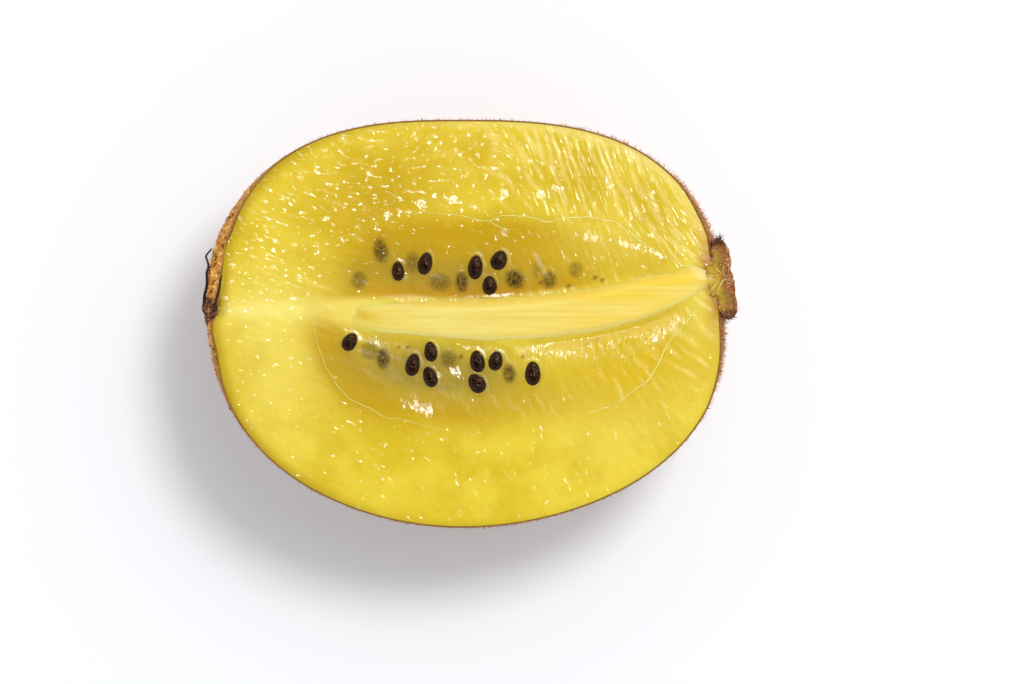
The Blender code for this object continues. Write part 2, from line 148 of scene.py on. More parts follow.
camera = bpy.data.objects.new("camera", bpy.data.cameras.new("camera"))
camera.data.sensor_width = SENSOR_WIDTH
camera.data.lens = SENSOR_WIDTH * CAMERA_DISTANCE / (PICTURE_WIDTH * MM_PER_PIXEL)
camera.data.clip_start = 0.01
camera.location = Vector((*CAMERA_AIM, CUT_HEIGHT + CAMERA_DISTANCE)) * MM
bpy.context.scene.collection.objects.link(camera)
bpy.context.scene.camera = camera
print("lens", round(camera.data.lens, 1), "mm")

# %% [markdown]
# Helpers for materials
#
# A procedural material is a small machine of nodes. These helpers add a node and wire its inputs in one
# call, so that each material below reads as a recipe: noise, a mask, a mix of two colours.

# %% Small helpers for node recipes


def new_material(name):
    """A material, its node tree and its shader."""
    material = bpy.data.materials.new(name)
    material.use_nodes = True
    return material, material.node_tree, material.node_tree.nodes["Principled BSDF"]


def put(tree, kind, inputs=None, **settings):
    """Adds a node, sets its options, and wires or sets its inputs."""
    made = tree.nodes.new("ShaderNode" + kind)
    for name, value in settings.items():
        setattr(made, name, value)
    for name, value in (inputs or {}).items():
        wire(tree, made.inputs[name], value)
    return made


def wire(tree, socket, value):
    """Links an output to this socket, or sets the socket to a plain value."""
    if isinstance(value, bpy.types.NodeSocket):
        tree.links.new(value, socket)
    elif isinstance(value, tuple) and len(value) == 3 and socket.type == "RGBA":
        socket.default_value = (*value, 1.0)
    else:
        socket.default_value = value


def mix(tree, share, first, second, blend="MIX"):
    """Mixes two colours."""
    made = put(tree, "Mix", data_type="RGBA", blend_type=blend)
    wire(tree, made.inputs[0], share)
    wire(tree, made.inputs[6], first)
    wire(tree, made.inputs[7], second)
    return made.outputs[2]


def maths(tree, operation, first, second=0.0):
    """One sum of two numbers."""
    made = put(tree, "Math", operation=operation)
    wire(tree, made.inputs[0], first)
    wire(tree, made.inputs[1], second)
    return made.outputs[0]


def between(tree, value, low, high, start=0.0, end=1.0):
    """Turns a value into a soft step from start, at low, to end, at high."""
    made = put(tree, "MapRange", interpolation_type="SMOOTHSTEP")
    for name, number in (("From Min", low), ("From Max", high), ("To Min", start), ("To Max", end)):
        made.inputs[name].default_value = number
    wire(tree, made.inputs["Value"], value)
    return made.outputs["Result"]


def place_mm(tree, stretch=(1, 1, 1)):
    """The place on the object in millimetres, stretched this much along each axis."""
    where = put(tree, "TexCoord").outputs["Object"]
    scale = tuple(value / MM for value in stretch)
    return put(tree, "Mapping", {"Vector": where, "Scale": scale}).outputs["Vector"]


def speckle(tree, where, scale, detail=3.0, roughness=0.55):
    """Noise from 0 to 1 at this scale."""
    inputs = {"Vector": where, "Scale": scale, "Detail": detail, "Roughness": roughness}
    return put(tree, "TexNoise", inputs).outputs["Fac"]


def stored(tree, name):
    """A number that the mesh keeps for each of its points."""
    return put(tree, "Attribute", attribute_name=name).outputs["Fac"]


def bumps(tree, height, depth_mm, under=None):
    """A surface direction from a height, this many millimetres deep."""
    inputs = {"Height": height, "Strength": 1.0, "Distance": depth_mm * MM}
    if under is not None:
        inputs["Normal"] = under
    return put(tree, "Bump", inputs).outputs["Normal"]


def colour(red, green, blue):
    """A colour given in screen numbers, as the linear numbers that a shader wants."""
    return tuple(((c / 255 + 0.055) / 1.055) ** 2.4 if c > 10 else c / 255 / 12.92 for c in (red, green, blue))


print("yellow flesh is", [round(c, 3) for c in colour(235, 210, 76)])

# %% [markdown]
# Floor and light
#
# The fruit lies on a plain white surface. A soft lamp stands high on the stem side, so the shadow falls
# towards the lower left and the wet face glints. Its small bright middle makes the glints, and its wide
# dim edge softens the shadow. The room around is pale, but darker overhead, as over a camera, so that the
# level parts of the wet face mirror little and keep their deep yellow.

# %% Floor, soft lamp and pale surroundings
FLOOR_SIZE = 3000.0
LAMP_AZIMUTH = math.radians(50)
LAMP_ZENITH = math.radians(27)
LAMP_DISTANCE = 900.0
LAMPS = {"lamp_middle": (240.0, 3.4), "lamp_edge": (600.0, 1.5)}
ROOM_COLOUR = (0.95, 0.985, 1.05, 1)
ROOM_SIDES = 1.28
ROOM_OVERHEAD = 0.06
OVERHEAD_SPREAD = (0.50, 0.90)

form = bmesh.new()
bmesh.ops.create_grid(form, x_segments=1, y_segments=1, size=FLOOR_SIZE * MM / 2)
floor_mesh = bpy.data.meshes.new("floor")
form.to_mesh(floor_mesh)
form.free()
floor = bpy.data.objects.new("floor", floor_mesh)
bpy.context.scene.collection.objects.link(floor)
floor_material, tree, shader = new_material("white_surface")
shader.inputs["Base Color"].default_value = (0.92, 0.92, 0.925, 1)
shader.inputs["Roughness"].default_value = 0.9
shader.inputs["Specular IOR Level"].default_value = 0.1
floor.data.materials.append(floor_material)
floor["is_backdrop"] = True

towards = Vector((math.cos(LAMP_AZIMUTH), math.sin(LAMP_AZIMUTH), 1 / math.tan(LAMP_ZENITH))).normalized()
for name, (size, watts) in LAMPS.items():
    lamp = bpy.data.objects.new(name, bpy.data.lights.new(name, "AREA"))
    lamp.data.shape = "DISK"
    lamp.data.size = size * MM
    lamp.data.energy = watts
    lamp.location = towards * LAMP_DISTANCE * MM
    lamp.rotation_euler = towards.to_track_quat("Z", "Y").to_euler()
    bpy.context.scene.collection.objects.link(lamp)

world = bpy.data.worlds.new("pale_room")
world.use_nodes = True
room = world.node_tree
upwards = put(room, "SeparateXYZ", {"Vector": put(room, "TexCoord").outputs["Generated"]}).outputs["Z"]
room.nodes["Background"].inputs["Color"].default_value = ROOM_COLOUR
brightness = between(room, upwards, *OVERHEAD_SPREAD, ROOM_SIDES, ROOM_OVERHEAD)
wire(room, room.nodes["Background"].inputs["Strength"], brightness)
bpy.context.scene.world = world
bpy.context.scene.view_settings.view_transform = "Standard"
print("lamp at", [round(v, 3) for v in lamp.location])

# %% [markdown]
# Helpers for meshes
#
# Thousands of points are moved at once with numpy. A closed lid is the start of the flesh: a square grid
# pulled round into a disc, with rings of faces hanging from its rim. The grid's cells stay nearly equal,
# where a round fan of faces would crowd them in the middle.

# %% Small helpers for meshes


def points_of(mesh):
    """All points of a mesh in millimetres."""
    flat = np.empty(len(mesh.vertices) * 3, np.float32)
    mesh.vertices.foreach_get("co", flat)
    return flat.reshape(-1, 3).astype(np.float64) / MM


def move_points(mesh, points):
    """Puts the points of a mesh at these places in millimetres."""
    mesh.vertices.foreach_set("co", (points * MM).astype(np.float32).ravel())
    mesh.update()


def keep_number(mesh, name, values):
    """Stores one number for each point, which a material can read."""
    layer = mesh.attributes.new(name, "FLOAT", "POINT")
    layer.data.foreach_set("value", np.asarray(values, np.float32))


SHARP_FROM = math.radians(55)


def add_piece(name, mesh, material, slot, *nodes):
    """Shows a mesh as a piece of the fruit, smooth, in its material, in place of these solids."""
    piece = bpy.data.objects.new(name, mesh)
    piece.location = (BOX_SHIFT[0] * MM, BOX_SHIFT[1] * MM, 0)
    bpy.context.scene.collection.objects.link(piece)
    mesh.materials.clear()
    mesh.materials.append(material)
    mesh.shade_smooth()
    mesh.set_sharp_from_angle(angle=SHARP_FROM)
    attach(piece, "root")
    if nodes:
        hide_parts(*nodes)
    print(name, len(mesh.polygons), "faces")
    return piece


def smooth_step(low, high, value):
    share = np.clip((value - low) / (high - low), 0, 1)
    return share * share * (3 - 2 * share)


def hang_rings(form, rings):
    """Extrudes the open rim downwards, ring by ring, to a depth of 1, and closes the last ring."""
    rim = [edge for edge in form.edges if len(edge.link_faces) < 2]
    for ring in range(1, rings + 1):
        made = bmesh.ops.extrude_edge_only(form, edges=rim)["geom"]
        for vert in made:
            if isinstance(vert, bmesh.types.BMVert):
                vert.co.z = -ring / rings
        rim = [edge for edge in made if isinstance(edge, bmesh.types.BMEdge) and edge.is_boundary]
    bmesh.ops.edgenet_fill(form, edges=rim)
    bmesh.ops.recalc_face_normals(form, faces=form.faces)


def lid_mesh(name, cells_x, cells_y, rings):
    form = bmesh.new()
    bmesh.ops.create_grid(form, x_segments=cells_x, y_segments=cells_y, size=1)
    hang_rings(form, rings)
    mesh = bpy.data.meshes.new(name)
    form.to_mesh(mesh)
    form.free()
    return mesh


def square_to_disc(a, b):
    """Sends each point of a square to a disc: how far out, from 0 to 1, and at which angle."""
    wide = np.abs(a) >= np.abs(b)
    out = np.where(wide, np.abs(a), np.abs(b))
    base = np.where(wide, a, b)
    share = np.where(wide, b, a) / np.where(base == 0, 1, base)
    turned = np.where(wide, share, 2 - share) * np.pi / 4
    return out, turned + np.where(base < 0, np.pi, 0)


print("helpers ready")

# %% [markdown]
# The lie of the cut face
#
# A knife leaves the face almost flat, but the fruit relaxes: the rim drops a little, the soft part round
# the seeds sinks, and a trench forms along each side of the firm core. One function gives the height of
# the face at any place. The flesh, the strands and the seeds all ask it where the surface is.

# %% Core edges, sunk middle and trenches
CORE_FAR_EDGE = ((-29, 2.1), (-16.2, 2.8), (-8.1, 3.1), (0.1, 3.0), (5.9, 3.4), (12.8, 4.2), (19.8, 5.7), (28.5, 7.4))
CORE_NEAR_EDGE = (
    (-29, 1.0), (-19.7, 0.7), (-15, -0.1), (-11.5, -1.0), (-5.7, -1.6), (1.2, -2.1), (7, -2.0),
    (10.5, -1.6), (15.1, -0.9), (19.8, 0.2), (24.4, 2.2), (28.5, 4.2),
)
INNER_MIDDLE = (4.0, 1.2)
INNER_REACH = {"stem": 24.0, "blossom": 21.2, "far": 11.4, "near": 12.6}
INNER_SQUARENESS = 2.5
INNER_SINK = 0.30
DOME_DROP = 0.34
RIM_ROUNDING = RIM_DROP - DOME_DROP


def smooth_line(stops, softness=2.5):
    """A function through these stops, with its corners rounded over this many millimetres."""
    table_x = np.arange(stops[0][0] - 3, stops[-1][0] + 3, 0.1)
    table_y = np.interp(table_x, *zip(*stops))
    window = np.hanning(int(softness / 0.1) * 2 + 1)
    table_y = np.convolve(np.pad(table_y, len(window) // 2, "edge"), window / window.sum(), "valid")
    return lambda x: np.interp(x, table_x, table_y)


core_far = smooth_line(CORE_FAR_EDGE)
core_near = smooth_line(CORE_NEAR_EDGE)


def rim_share(x, y):
    """0 in the middle of the cut and 1 at its rim."""
    dx = x - MIDDLE[0]
    dy = y - MIDDLE[1]
    angle = np.arctan2(dy, dx)
    return np.hypot(dx, dy) / (outline_radius(angle) - rim_inset(angle))


def inner_share(x, y):
    """0 at the heart of the inner flesh and 1 at its border with the outer flesh."""
    dx = x - INNER_MIDDLE[0]
    dy = y - INNER_MIDDLE[1]
    reach_x = np.where(dx > 0, INNER_REACH["stem"], INNER_REACH["blossom"])
    reach_y = np.where(dy > 0, INNER_REACH["far"], INNER_REACH["near"])
    power = INNER_SQUARENESS - 0.7 * smooth_step(0, 20, dx)
    return (np.abs(dx / reach_x) ** power + np.abs(dy / reach_y) ** power) ** (1 / power)


def spot(x, y, middle, reach, turn=0.0):
    """A soft spot: 1 at its middle, fading over its reach along and across, turned by degrees."""
    angle = math.radians(turn)
    dx = x - middle[0]
    dy = y - middle[1]
    along = (dx * math.cos(angle) + dy * math.sin(angle)) / reach[0]
    across = (dy * math.cos(angle) - dx * math.sin(angle)) / reach[1]
    return np.exp(-(along**2) - across**2)


def face_height(x, y):
    """The height of the cut face over the plane of the cut, in millimetres."""
    rim = rim_share(x, y)
    height = -DOME_DROP * rim**4 - RIM_ROUNDING * smooth_step(0.95, 1.0, rim)
    height = height - INNER_SINK * (1 - smooth_step(0.60, 1.10, inner_share(x, y)))
    below = core_near(x) - y
    above = y - core_far(x)
    near_trench = 0.06 + 0.34 * smooth_step(5, 11, x) * (1 - smooth_step(22, 27, x))
    far_trench = 0.16 * smooth_step(-10, -5, x) * (1 - smooth_step(10, 16, x))
    along_core = smooth_step(-18, -13, x) * (1 - smooth_step(22, 27, x))
    height = height - along_core * near_trench * np.exp(-(((below - 0.4) / 0.8) ** 2))
    height = height - far_trench * np.exp(-(((above - 0.3) / 0.7) ** 2))
    return height


print("middle of the face lies", round(float(face_height(np.array(5.0), np.array(7.0))), 2), "mm under the cut")

# %% [markdown]
# Where the seeds are
#
# The cut opened some seed chambers, so dark seeds stand in the wet hollows, and others show as grey
# shadows through a film of flesh. Each is placed one by one, as on the real fruit. A seed is an egg about
# 3 mm long. The list comes before the flesh, because the flesh wells up round each seed.

# %% Seeds that stand free, and seeds under a film of flesh
# Each free seed: place, length, width, turn of its long side from the far side towards the stem.
FREE_SEEDS = (
    ((-5.15, 7.03), 2.75, 1.72, 13),
    ((0.68, 6.60), 2.95, 1.80, 5),
    ((3.43, 7.40), 2.45, 1.95, 24),
    ((2.33, 4.50), 2.25, 1.75, -4),
    ((-8.31, 6.15), 2.45, 1.50, -4),
    ((-13.90, -2.08), 2.35, 1.75, 30),
    ((-6.59, -4.74), 2.80, 1.75, 11),
    ((-4.50, -3.20), 2.45, 1.60, -8),
    ((-4.58, -6.16), 2.60, 1.72, -20),
    ((0.90, -4.35), 2.70, 1.80, -10),
    ((0.84, -6.88), 2.55, 1.98, -35),
    ((3.04, -4.27), 2.40, 1.75, 10),
    ((7.34, -5.73), 2.98, 1.90, 0),
)
# Each veiled seed: place, length, width, turn, and how dark it shows.
VEILED_SEEDS = (
    ((-10.30, 8.50), 2.9, 1.7, -8, 0.60),
    ((-12.80, 5.10), 2.1, 1.8, 0, 0.45),
    ((-6.60, 7.20), 2.4, 1.6, 0, 0.40),
    ((-3.40, 4.80), 2.0, 2.6, 0, 0.42),
    ((-0.90, 4.85), 2.3, 1.5, -4, 0.66),
    ((5.25, 5.20), 2.3, 2.1, -45, 0.70),
    ((9.30, 5.15), 2.0, 1.7, 12, 0.55),
    ((7.90, 6.40), 2.6, 1.6, 0, 0.22),
    ((12.30, 6.30), 1.9, 1.6, 0, 0.35),
    ((-11.60, -3.10), 2.2, 2.0, 0, 0.35),
    ((-10.05, -4.00), 2.4, 1.5, -6, 0.70),
    ((-2.40, -4.00), 2.2, 1.9, 0, 0.40),
    ((4.60, -5.75), 2.3, 1.5, -8, 0.60),
)
SEED_THICKNESS = 1.4
WELL_UP = 0.07


def from_seed(x, y, middle, length, width, turn):
    """How far each place is from a seed's middle: 1 at the seed's own outline."""
    angle = math.radians(turn)
    dx = x - middle[0]
    dy = y - middle[1]
    along = (dy * math.cos(angle) + dx * math.sin(angle)) / (length / 2)
    across = (dx * math.cos(angle) - dy * math.sin(angle)) / (width / 2)
    return np.hypot(along, across)


def seed_welling(x, y):
    """The flesh rises in a small collar round each free seed."""
    rise = np.zeros_like(x)
    for middle, length, width, turn in FREE_SEEDS:
        rise = rise + WELL_UP * np.exp(-(((from_seed(x, y, middle, length, width, turn) - 1.02) / 0.17) ** 2))
    for middle, length, width, turn, _ in VEILED_SEEDS:
        rise = rise + 0.4 * WELL_UP * np.exp(-(from_seed(x, y, middle, length, width, turn) ** 2))
    return rise


print(len(FREE_SEEDS), "free seeds and", len(VEILED_SEEDS), "under a film")

# %% [markdown]
# The flesh
#
# The flesh is one closed body: a fine lid for the cut face, and a rounded back inside the skin. The lid
# could be sculpted with a displacement texture, but moving its points in code lets the same numbers steer
# its colours. Soft noise, stretched along the grain, roughens the face as a knife does.

# %% Shape of the flesh
FLESH_CELLS = 280
FLESH_RINGS = 14
FLESH_INSET = 0.2
GRAIN_BEND = (0.42, 0.95, 6.0, 13.0)


def grain_slope(x):
    """How steeply the ridges of the outer flesh run down towards the stem end."""
    flat, extra, steepest, spread = GRAIN_BEND
    return flat + extra * np.exp(-(((x - steepest) / spread) ** 2))


grain_x = np.arange(-35, 35, 0.1)
grain_fall = np.cumsum(grain_slope(grain_x)) * 0.1
grain_length = np.cumsum(np.sqrt(1 + grain_slope(grain_x) ** 2)) * 0.1


def grain_across(x, y):
    """A number that stays the same along a ridge and grows across it."""
    return (y + np.interp(x, grain_x, grain_fall)) / np.sqrt(1 + grain_slope(x) ** 2)


def rough(x, y, size_along, size_across):
    """Noise between about -1 and 1, stretched along the grain."""
    across = grain_across(x, y) / size_across
    along = (x * 0.8 - y * 0.6) / size_along
    return np.array([noise.noise(Vector((a, b, 0.5))) for a, b in zip(along, across)])


flesh_mesh = lid_mesh("flesh", FLESH_CELLS, FLESH_CELLS, FLESH_RINGS)
unit = points_of(flesh_mesh) * MM
out, angle = square_to_disc(unit[:, 0], unit[:, 1])
on_lid = unit[:, 2] > -0.001
shape = back_points(angle, -unit[:, 2] * np.pi / 2, FLESH_INSET)
reach = out * (outline_radius(angle) - rim_inset(angle) - FLESH_INSET)
lid_x = MIDDLE[0] + reach * np.cos(angle)
lid_y = MIDDLE[1] + reach * np.sin(angle)
rim = rim_share(lid_x, lid_y)
core_edge = np.minimum(lid_y - core_near(lid_x), core_far(lid_x) - lid_y)
under_core = smooth_step(0.6, 1.8, core_edge) * smooth_step(-12, -3, lid_x)
ruffle = np.zeros(len(unit))
ruffle[on_lid] = 0.05 * rough(lid_x[on_lid], lid_y[on_lid], 2.2, 0.8)
ruffle[on_lid] += 0.07 * rough(lid_x[on_lid], lid_y[on_lid], 7.0, 4.0)
lid_z = face_height(lid_x, lid_y) + seed_welling(lid_x, lid_y) - 0.16 * under_core
calm = 1 - 0.6 * (1 - smooth_step(-8, -1, lid_y)) * (1 - smooth_step(14, 20, lid_x))
lid_z = lid_z + ruffle * calm * (1 - smooth_step(0.93, 0.99, rim))
shape[on_lid] = np.stack([lid_x, lid_y, CUT_HEIGHT + lid_z], axis=-1)[on_lid]
move_points(flesh_mesh, shape)
print("flesh from", shape.min(0).round(2), "to", shape.max(0).round(2))

# %% [markdown]
# Tints of the flesh
#
# The outer flesh is clear yellow, paler towards the blossom end and greener under the skin. The inner
# flesh is deeper gold, and greyish where seeds lie near the surface. Each of these tints is a mask that
# a formula gives for every point, so the material can mix them and break their borders up with noise.

# %% Masks for the tints
inner = inner_share(lid_x, lid_y)
above_core = lid_y - core_far(lid_x)
below_core = core_near(lid_x) - lid_y
far_side = smooth_step(-0.5, 0.5, above_core)

gold = far_side * (1 - smooth_step(0.80, 1.12, inner)) * (1 - 0.55 * smooth_step(4, 19, lid_x))
gold = gold + 0.55 * far_side * spot(lid_x, lid_y, (-10.5, 13.0), (6.0, 4.5), 20)
gold = gold + (1 - far_side) * 1.3 * spot(lid_x, lid_y, (-16.0, -3.0), (2.6, 5.4), 24)
gold = gold + (1 - far_side) * 0.9 * spot(lid_x, lid_y, (-12.5, -7.4), (4.0, 2.0), -38)
gold = gold + (1 - far_side) * 0.85 * spot(lid_x, lid_y, (-5.5, -9.6), (8.5, 2.4), -8)
gold = gold + (1 - far_side) * 0.60 * spot(lid_x, lid_y, (8.5, -9.4), (11.0, 2.2), 8)
gold = gold + 0.42 * spot(lid_x, lid_y, (-8.0, 17.0), (19.0, 7.0), 10)
gold = gold + (1 - far_side) * 0.50 * spot(lid_x, lid_y, (19.5, -2.5), (6.0, 4.0), 35)
gold = gold + (1 - far_side) * 0.40 * spot(lid_x, lid_y, (13.0, -6.0), (8.0, 3.0), 10)
gold = gold + 0.30 * spot(lid_x, lid_y, (19.0, 15.0), (8.0, 5.0), -40)
amber = np.exp(-(((above_core - 0.7) / 0.8) ** 2)) * smooth_step(-15, -9, lid_x) * (1 - smooth_step(8, 16, lid_x))
amber = amber * (0.55 + 0.45 * spot(lid_x, lid_y, (1.5, 3.0), (4.0, 6.0)))
pale = 0.30 * spot(lid_x, lid_y, (-23.5, 1.6), (7.0, 3.6)) + 0.5 * spot(lid_x, lid_y, (27.0, 2.5), (3.0, 6.0), -10)
pale = pale + 0.6 * smooth_step(-0.9, 0.9, core_edge) * (1 - 0.8 * smooth_step(-12, -6, lid_x))
pale = pale + 0.36 * spot(lid_x, lid_y, (-22.5, -4.0), (6.5, 11.0))
pale = pale + 0.38 * spot(lid_x, lid_y, (19.0, -9.0), (9.0, 5.5), 30) + 0.20 * spot(lid_x, lid_y, (17.0, 9.5), (8.0, 3.0), -15)
pale = pale * (1 - 0.8 * (1 - far_side) * spot(lid_x, lid_y, (-16.2, -3.0), (2.2, 5.0), 20))
green = smooth_step(0.94, 1.0, rim) * (0.15 + 0.85 * smooth_step(0, 26, -lid_x))
tan = smooth_step(0.92, 0.99, rim) * smooth_step(0, 10, lid_x) * np.exp(-(((lid_y - 5.0) / 5.0) ** 2))
tan = tan + 0.6 * spot(lid_x, lid_y, (28.6, 5.6), (2.2, 1.6), -10)
shade = np.zeros(len(unit))
haze_and_shade = 0.92 * (1 - far_side) * spot(lid_x, lid_y, (-4.5, -5.6), (9.0, 3.0), -8)
# A little grey-olive along the trench under the core's near edge: painted shade in that recess.
haze_and_shade = haze_and_shade + 0.20 * (1 - far_side) * spot(lid_x, lid_y, (12.0, -2.6), (7.0, 1.0), 6)
haze_and_shade = haze_and_shade + 0.40 * far_side * spot(lid_x, lid_y, (-4.5, 5.6), (9.0, 2.2), -4)
for middle, length, width, turn, dark in VEILED_SEEDS:
    near = from_seed(lid_x, lid_y, middle, length, width, turn)
    shade = np.maximum(shade, min(1.0, dark * 1.3) * (1 - smooth_step(0.55, 1.35, near)))
    haze_and_shade = haze_and_shade + 0.30 * dark * np.exp(-((near / 2.2) ** 2))
for middle, length, width, turn in FREE_SEEDS:
    near = from_seed(lid_x, lid_y, middle, length, width, turn)
    haze_and_shade = haze_and_shade + 0.12 * np.exp(-((near / 2.2) ** 2))

# %% Masks for the glints
# Wet patches that lean towards the lamp: middle, reach, turn in degrees.
# Brown specks: place and size.
SPECKS = (
    ((-7.2, -2.7), 0.22), ((-8.2, -2.7), 0.18), ((-1.0, -3.8), 0.22), ((6.2, -3.8), 0.2), ((14.6, 5.4), 0.22),
    ((15.4, 5.1), 0.2), ((11.5, 4.4), 0.2), ((8.2, 4.8), 0.2), ((14.8, -1.9), 0.24), ((13.6, -2.4), 0.2),
)
SHINY_PATCHES = (
    ((-5.9, -9.6), (2.2, 0.9), -22), ((10.8, -3.3), (3.2, 0.75), -6), ((22.6, -0.6), (3.4, 1.2), 32),
    ((14.1, 10.2), (1.1, 0.5), -15), ((18.0, 9.3), (2.0, 0.5), -16), ((-1.6, -5.7), (1.0, 0.7), -50),
    ((-3.5, -5.9), (0.5, 0.35), 0), ((-0.3, -2.7), (0.6, 0.3), -10), ((-1.5, 14.4), (1.1, 0.5), -25),
    ((-5.8, 13.9), (0.9, 0.5), -25), ((-9.6, 12.5), (0.5, 0.8), -30), ((10.2, 15.8), (0.8, 0.45), -20),
    ((13.6, 10.0), (1.6, 0.4), -10), ((8.2, 15.1), (0.6, 0.6), -40), ((4.1, 15.1), (0.5, 0.8), 30),
    ((16.2, 16.1), (0.7, 0.35), -15), ((4.1, 10.7), (0.5, 0.35), 0), ((3.4, 3.35), (5.2, 0.22), 3),
    ((21.6, 8.2), (1.4, 0.35), -30), ((-14.4, -0.7), (0.7, 0.3), -30), ((0.4, 13.6), (0.8, 0.4), -30),
)
shine = np.zeros(len(unit))
for middle, reach, turn in SHINY_PATCHES:
    shine = np.maximum(shine, spot(lid_x, lid_y, middle, reach, turn))
glitter = 0.55 + 0.45 * smooth_step(-2, 6, lid_y) + 0.15 * spot(lid_x, lid_y, (18, 15), (12, 6), -35)
glitter = glitter * (1 - (0.8 - 0.4 * far_side) * (1 - smooth_step(0.90, 1.15, inner)))
glitter = glitter + 0.5 * (1 - far_side) * spot(lid_x, lid_y, (-2.5, -4.6), (8.5, 2.4), -4)
glitter = glitter * (1 - np.clip(1.2 * shade, 0, 1))
ribs = spot(lid_x, lid_y, (15.0, -3.4), (7.5, 1.6), 8) + 0.6 * spot(lid_x, lid_y, (23.0, -0.5), (4.0, 2.5), 30)
ribs = ribs + 0.12 * (1 - far_side) * (1 - smooth_step(0.7, 1.1, inner))
speck = np.zeros(len(unit))
for middle, size in SPECKS:
    speck = np.maximum(speck, spot(lid_x, lid_y, middle, (size * 1.3, size), 35))
deep = 0.95 * spot(lid_x, lid_y, (19.0, -4.0), (9.0, 6.5), 30) * (1 - far_side)
masks = {
    "gold": gold, "amber": amber, "pale": pale, "green": green, "shade": shade, "haze_and_shade": np.minimum(haze_and_shade, 0.8),
    "shine": shine, "glitter": glitter, "ribs": ribs, "speck": speck, "deep": deep, "tan": tan,
}
for name, values in masks.items():
    keep_number(flesh_mesh, name, np.clip(values, 0, 1.3) * on_lid)
keep_number(flesh_mesh, "grain", grain_across(lid_x, lid_y))
keep_number(flesh_mesh, "along", np.interp(lid_x, grain_x, grain_length))
print("deepest gold", gold.max().round(2), "most haze", haze_and_shade.max().round(2))

# %% [markdown]
# The wet yellow material
#
# Light goes into the flesh and comes out again nearby, so the shader scatters it under the surface. A thin
# coat of juice lies on top. Its fine ridges, a few tenths of a millimetre wide, catch the lamp as bright
# dashes: they run aslant in the outer flesh, and straight out from the core in the inner flesh.

# %% Material of the flesh
YELLOW = colour(234, 208, 60)
YELLOW_DEEP = colour(219, 189, 34)
GOLD = colour(202, 162, 8)
AMBER = colour(212, 152, 0)
CREAM = colour(247, 228, 120)
GREEN = colour(190, 158, 22)
SEED_GREY = colour(72, 48, 12)
SPECK_BROWN = colour(136, 84, 10)
DEEP_YELLOW = colour(219, 185, 14)
TAN = colour(186, 118, 22)
# Grey of the flesh over seeds, also used as painted shade in the trench under the core.
HAZE_AND_SHADE_GREY = colour(156, 132, 52)
SCATTER = (1.0, 0.62, 0.12)
RIDGE_DEPTH = 0.085
LEAN_STEP = 0.9
LEAN_SLOPE = 0.24


def wet_islands(tree):
    """Short separate ridges along the grain, many where the glitter mask is high."""
    across = maths(tree, "MULTIPLY", stored(tree, "grain"), 2.3)
    along = maths(tree, "MULTIPLY", stored(tree, "along"), 0.92)
    slanted = put(tree, "CombineXYZ", {"X": along, "Y": across}).outputs[0]
    ridges = speckle(tree, slanted, 1.0, 2.0, 0.5)
    beads = maths(tree, "MULTIPLY", speckle(tree, place_mm(tree), 1.9, 1.0), 0.4)
    missing = maths(tree, "MULTIPLY", maths(tree, "SUBTRACT", 1.0, stored(tree, "glitter")), 0.15)
    return between(tree, maths(tree, "SUBTRACT", maths(tree, "ADD", ridges, beads), missing), 0.785, 0.86)


def leaning_patches(tree):
    """Wet patches that lean to the lamp in small steps, with ragged borders."""
    where = put(tree, "SeparateXYZ", {"Vector": place_mm(tree)}).outputs
    climb_x = maths(tree, "MULTIPLY", where["X"], math.cos(LAMP_AZIMUTH))
    climb_y = maths(tree, "MULTIPLY", where["Y"], math.sin(LAMP_AZIMUTH))
    climb = maths(tree, "MULTIPLY", maths(tree, "ADD", climb_x, climb_y), 1 / LEAN_STEP)
    wobble = maths(tree, "MULTIPLY", speckle(tree, place_mm(tree), 0.9, 3.0), 1.0)
    steps = maths(tree, "FRACT", maths(tree, "ADD", climb, wobble))
    ragged = maths(tree, "MULTIPLY", speckle(tree, place_mm(tree, (2.8, 1.0, 1)), 1.0, 3.0), 2.4)
    patches = between(tree, maths(tree, "ADD", stored(tree, "shine"), ragged), 1.74, 1.84)
    where_shiny = maths(tree, "MAXIMUM", patches, between(tree, wet_islands(tree), 0.3, 0.8))
    deep = maths(tree, "MULTIPLY", steps, -LEAN_STEP * LEAN_SLOPE / RIDGE_DEPTH)
    return maths(tree, "MULTIPLY", deep, where_shiny)


def wet_relief(tree):
    """All heights of the wet face, for the bumps."""
    fine = speckle(tree, place_mm(tree), 2.6, 2.0)
    upright = speckle(tree, place_mm(tree, (3.0, 0.6, 1)), 1.0, 2.0, 0.6)
    upright = maths(tree, "MULTIPLY", between(tree, upright, 0.42, 0.66), stored(tree, "ribs"))
    height = maths(tree, "ADD", maths(tree, "MULTIPLY", wet_islands(tree), 0.4), maths(tree, "MULTIPLY", fine, 0.25))
    height = maths(tree, "ADD", height, maths(tree, "MULTIPLY", upright, 0.8))
    return maths(tree, "ADD", height, leaning_patches(tree))


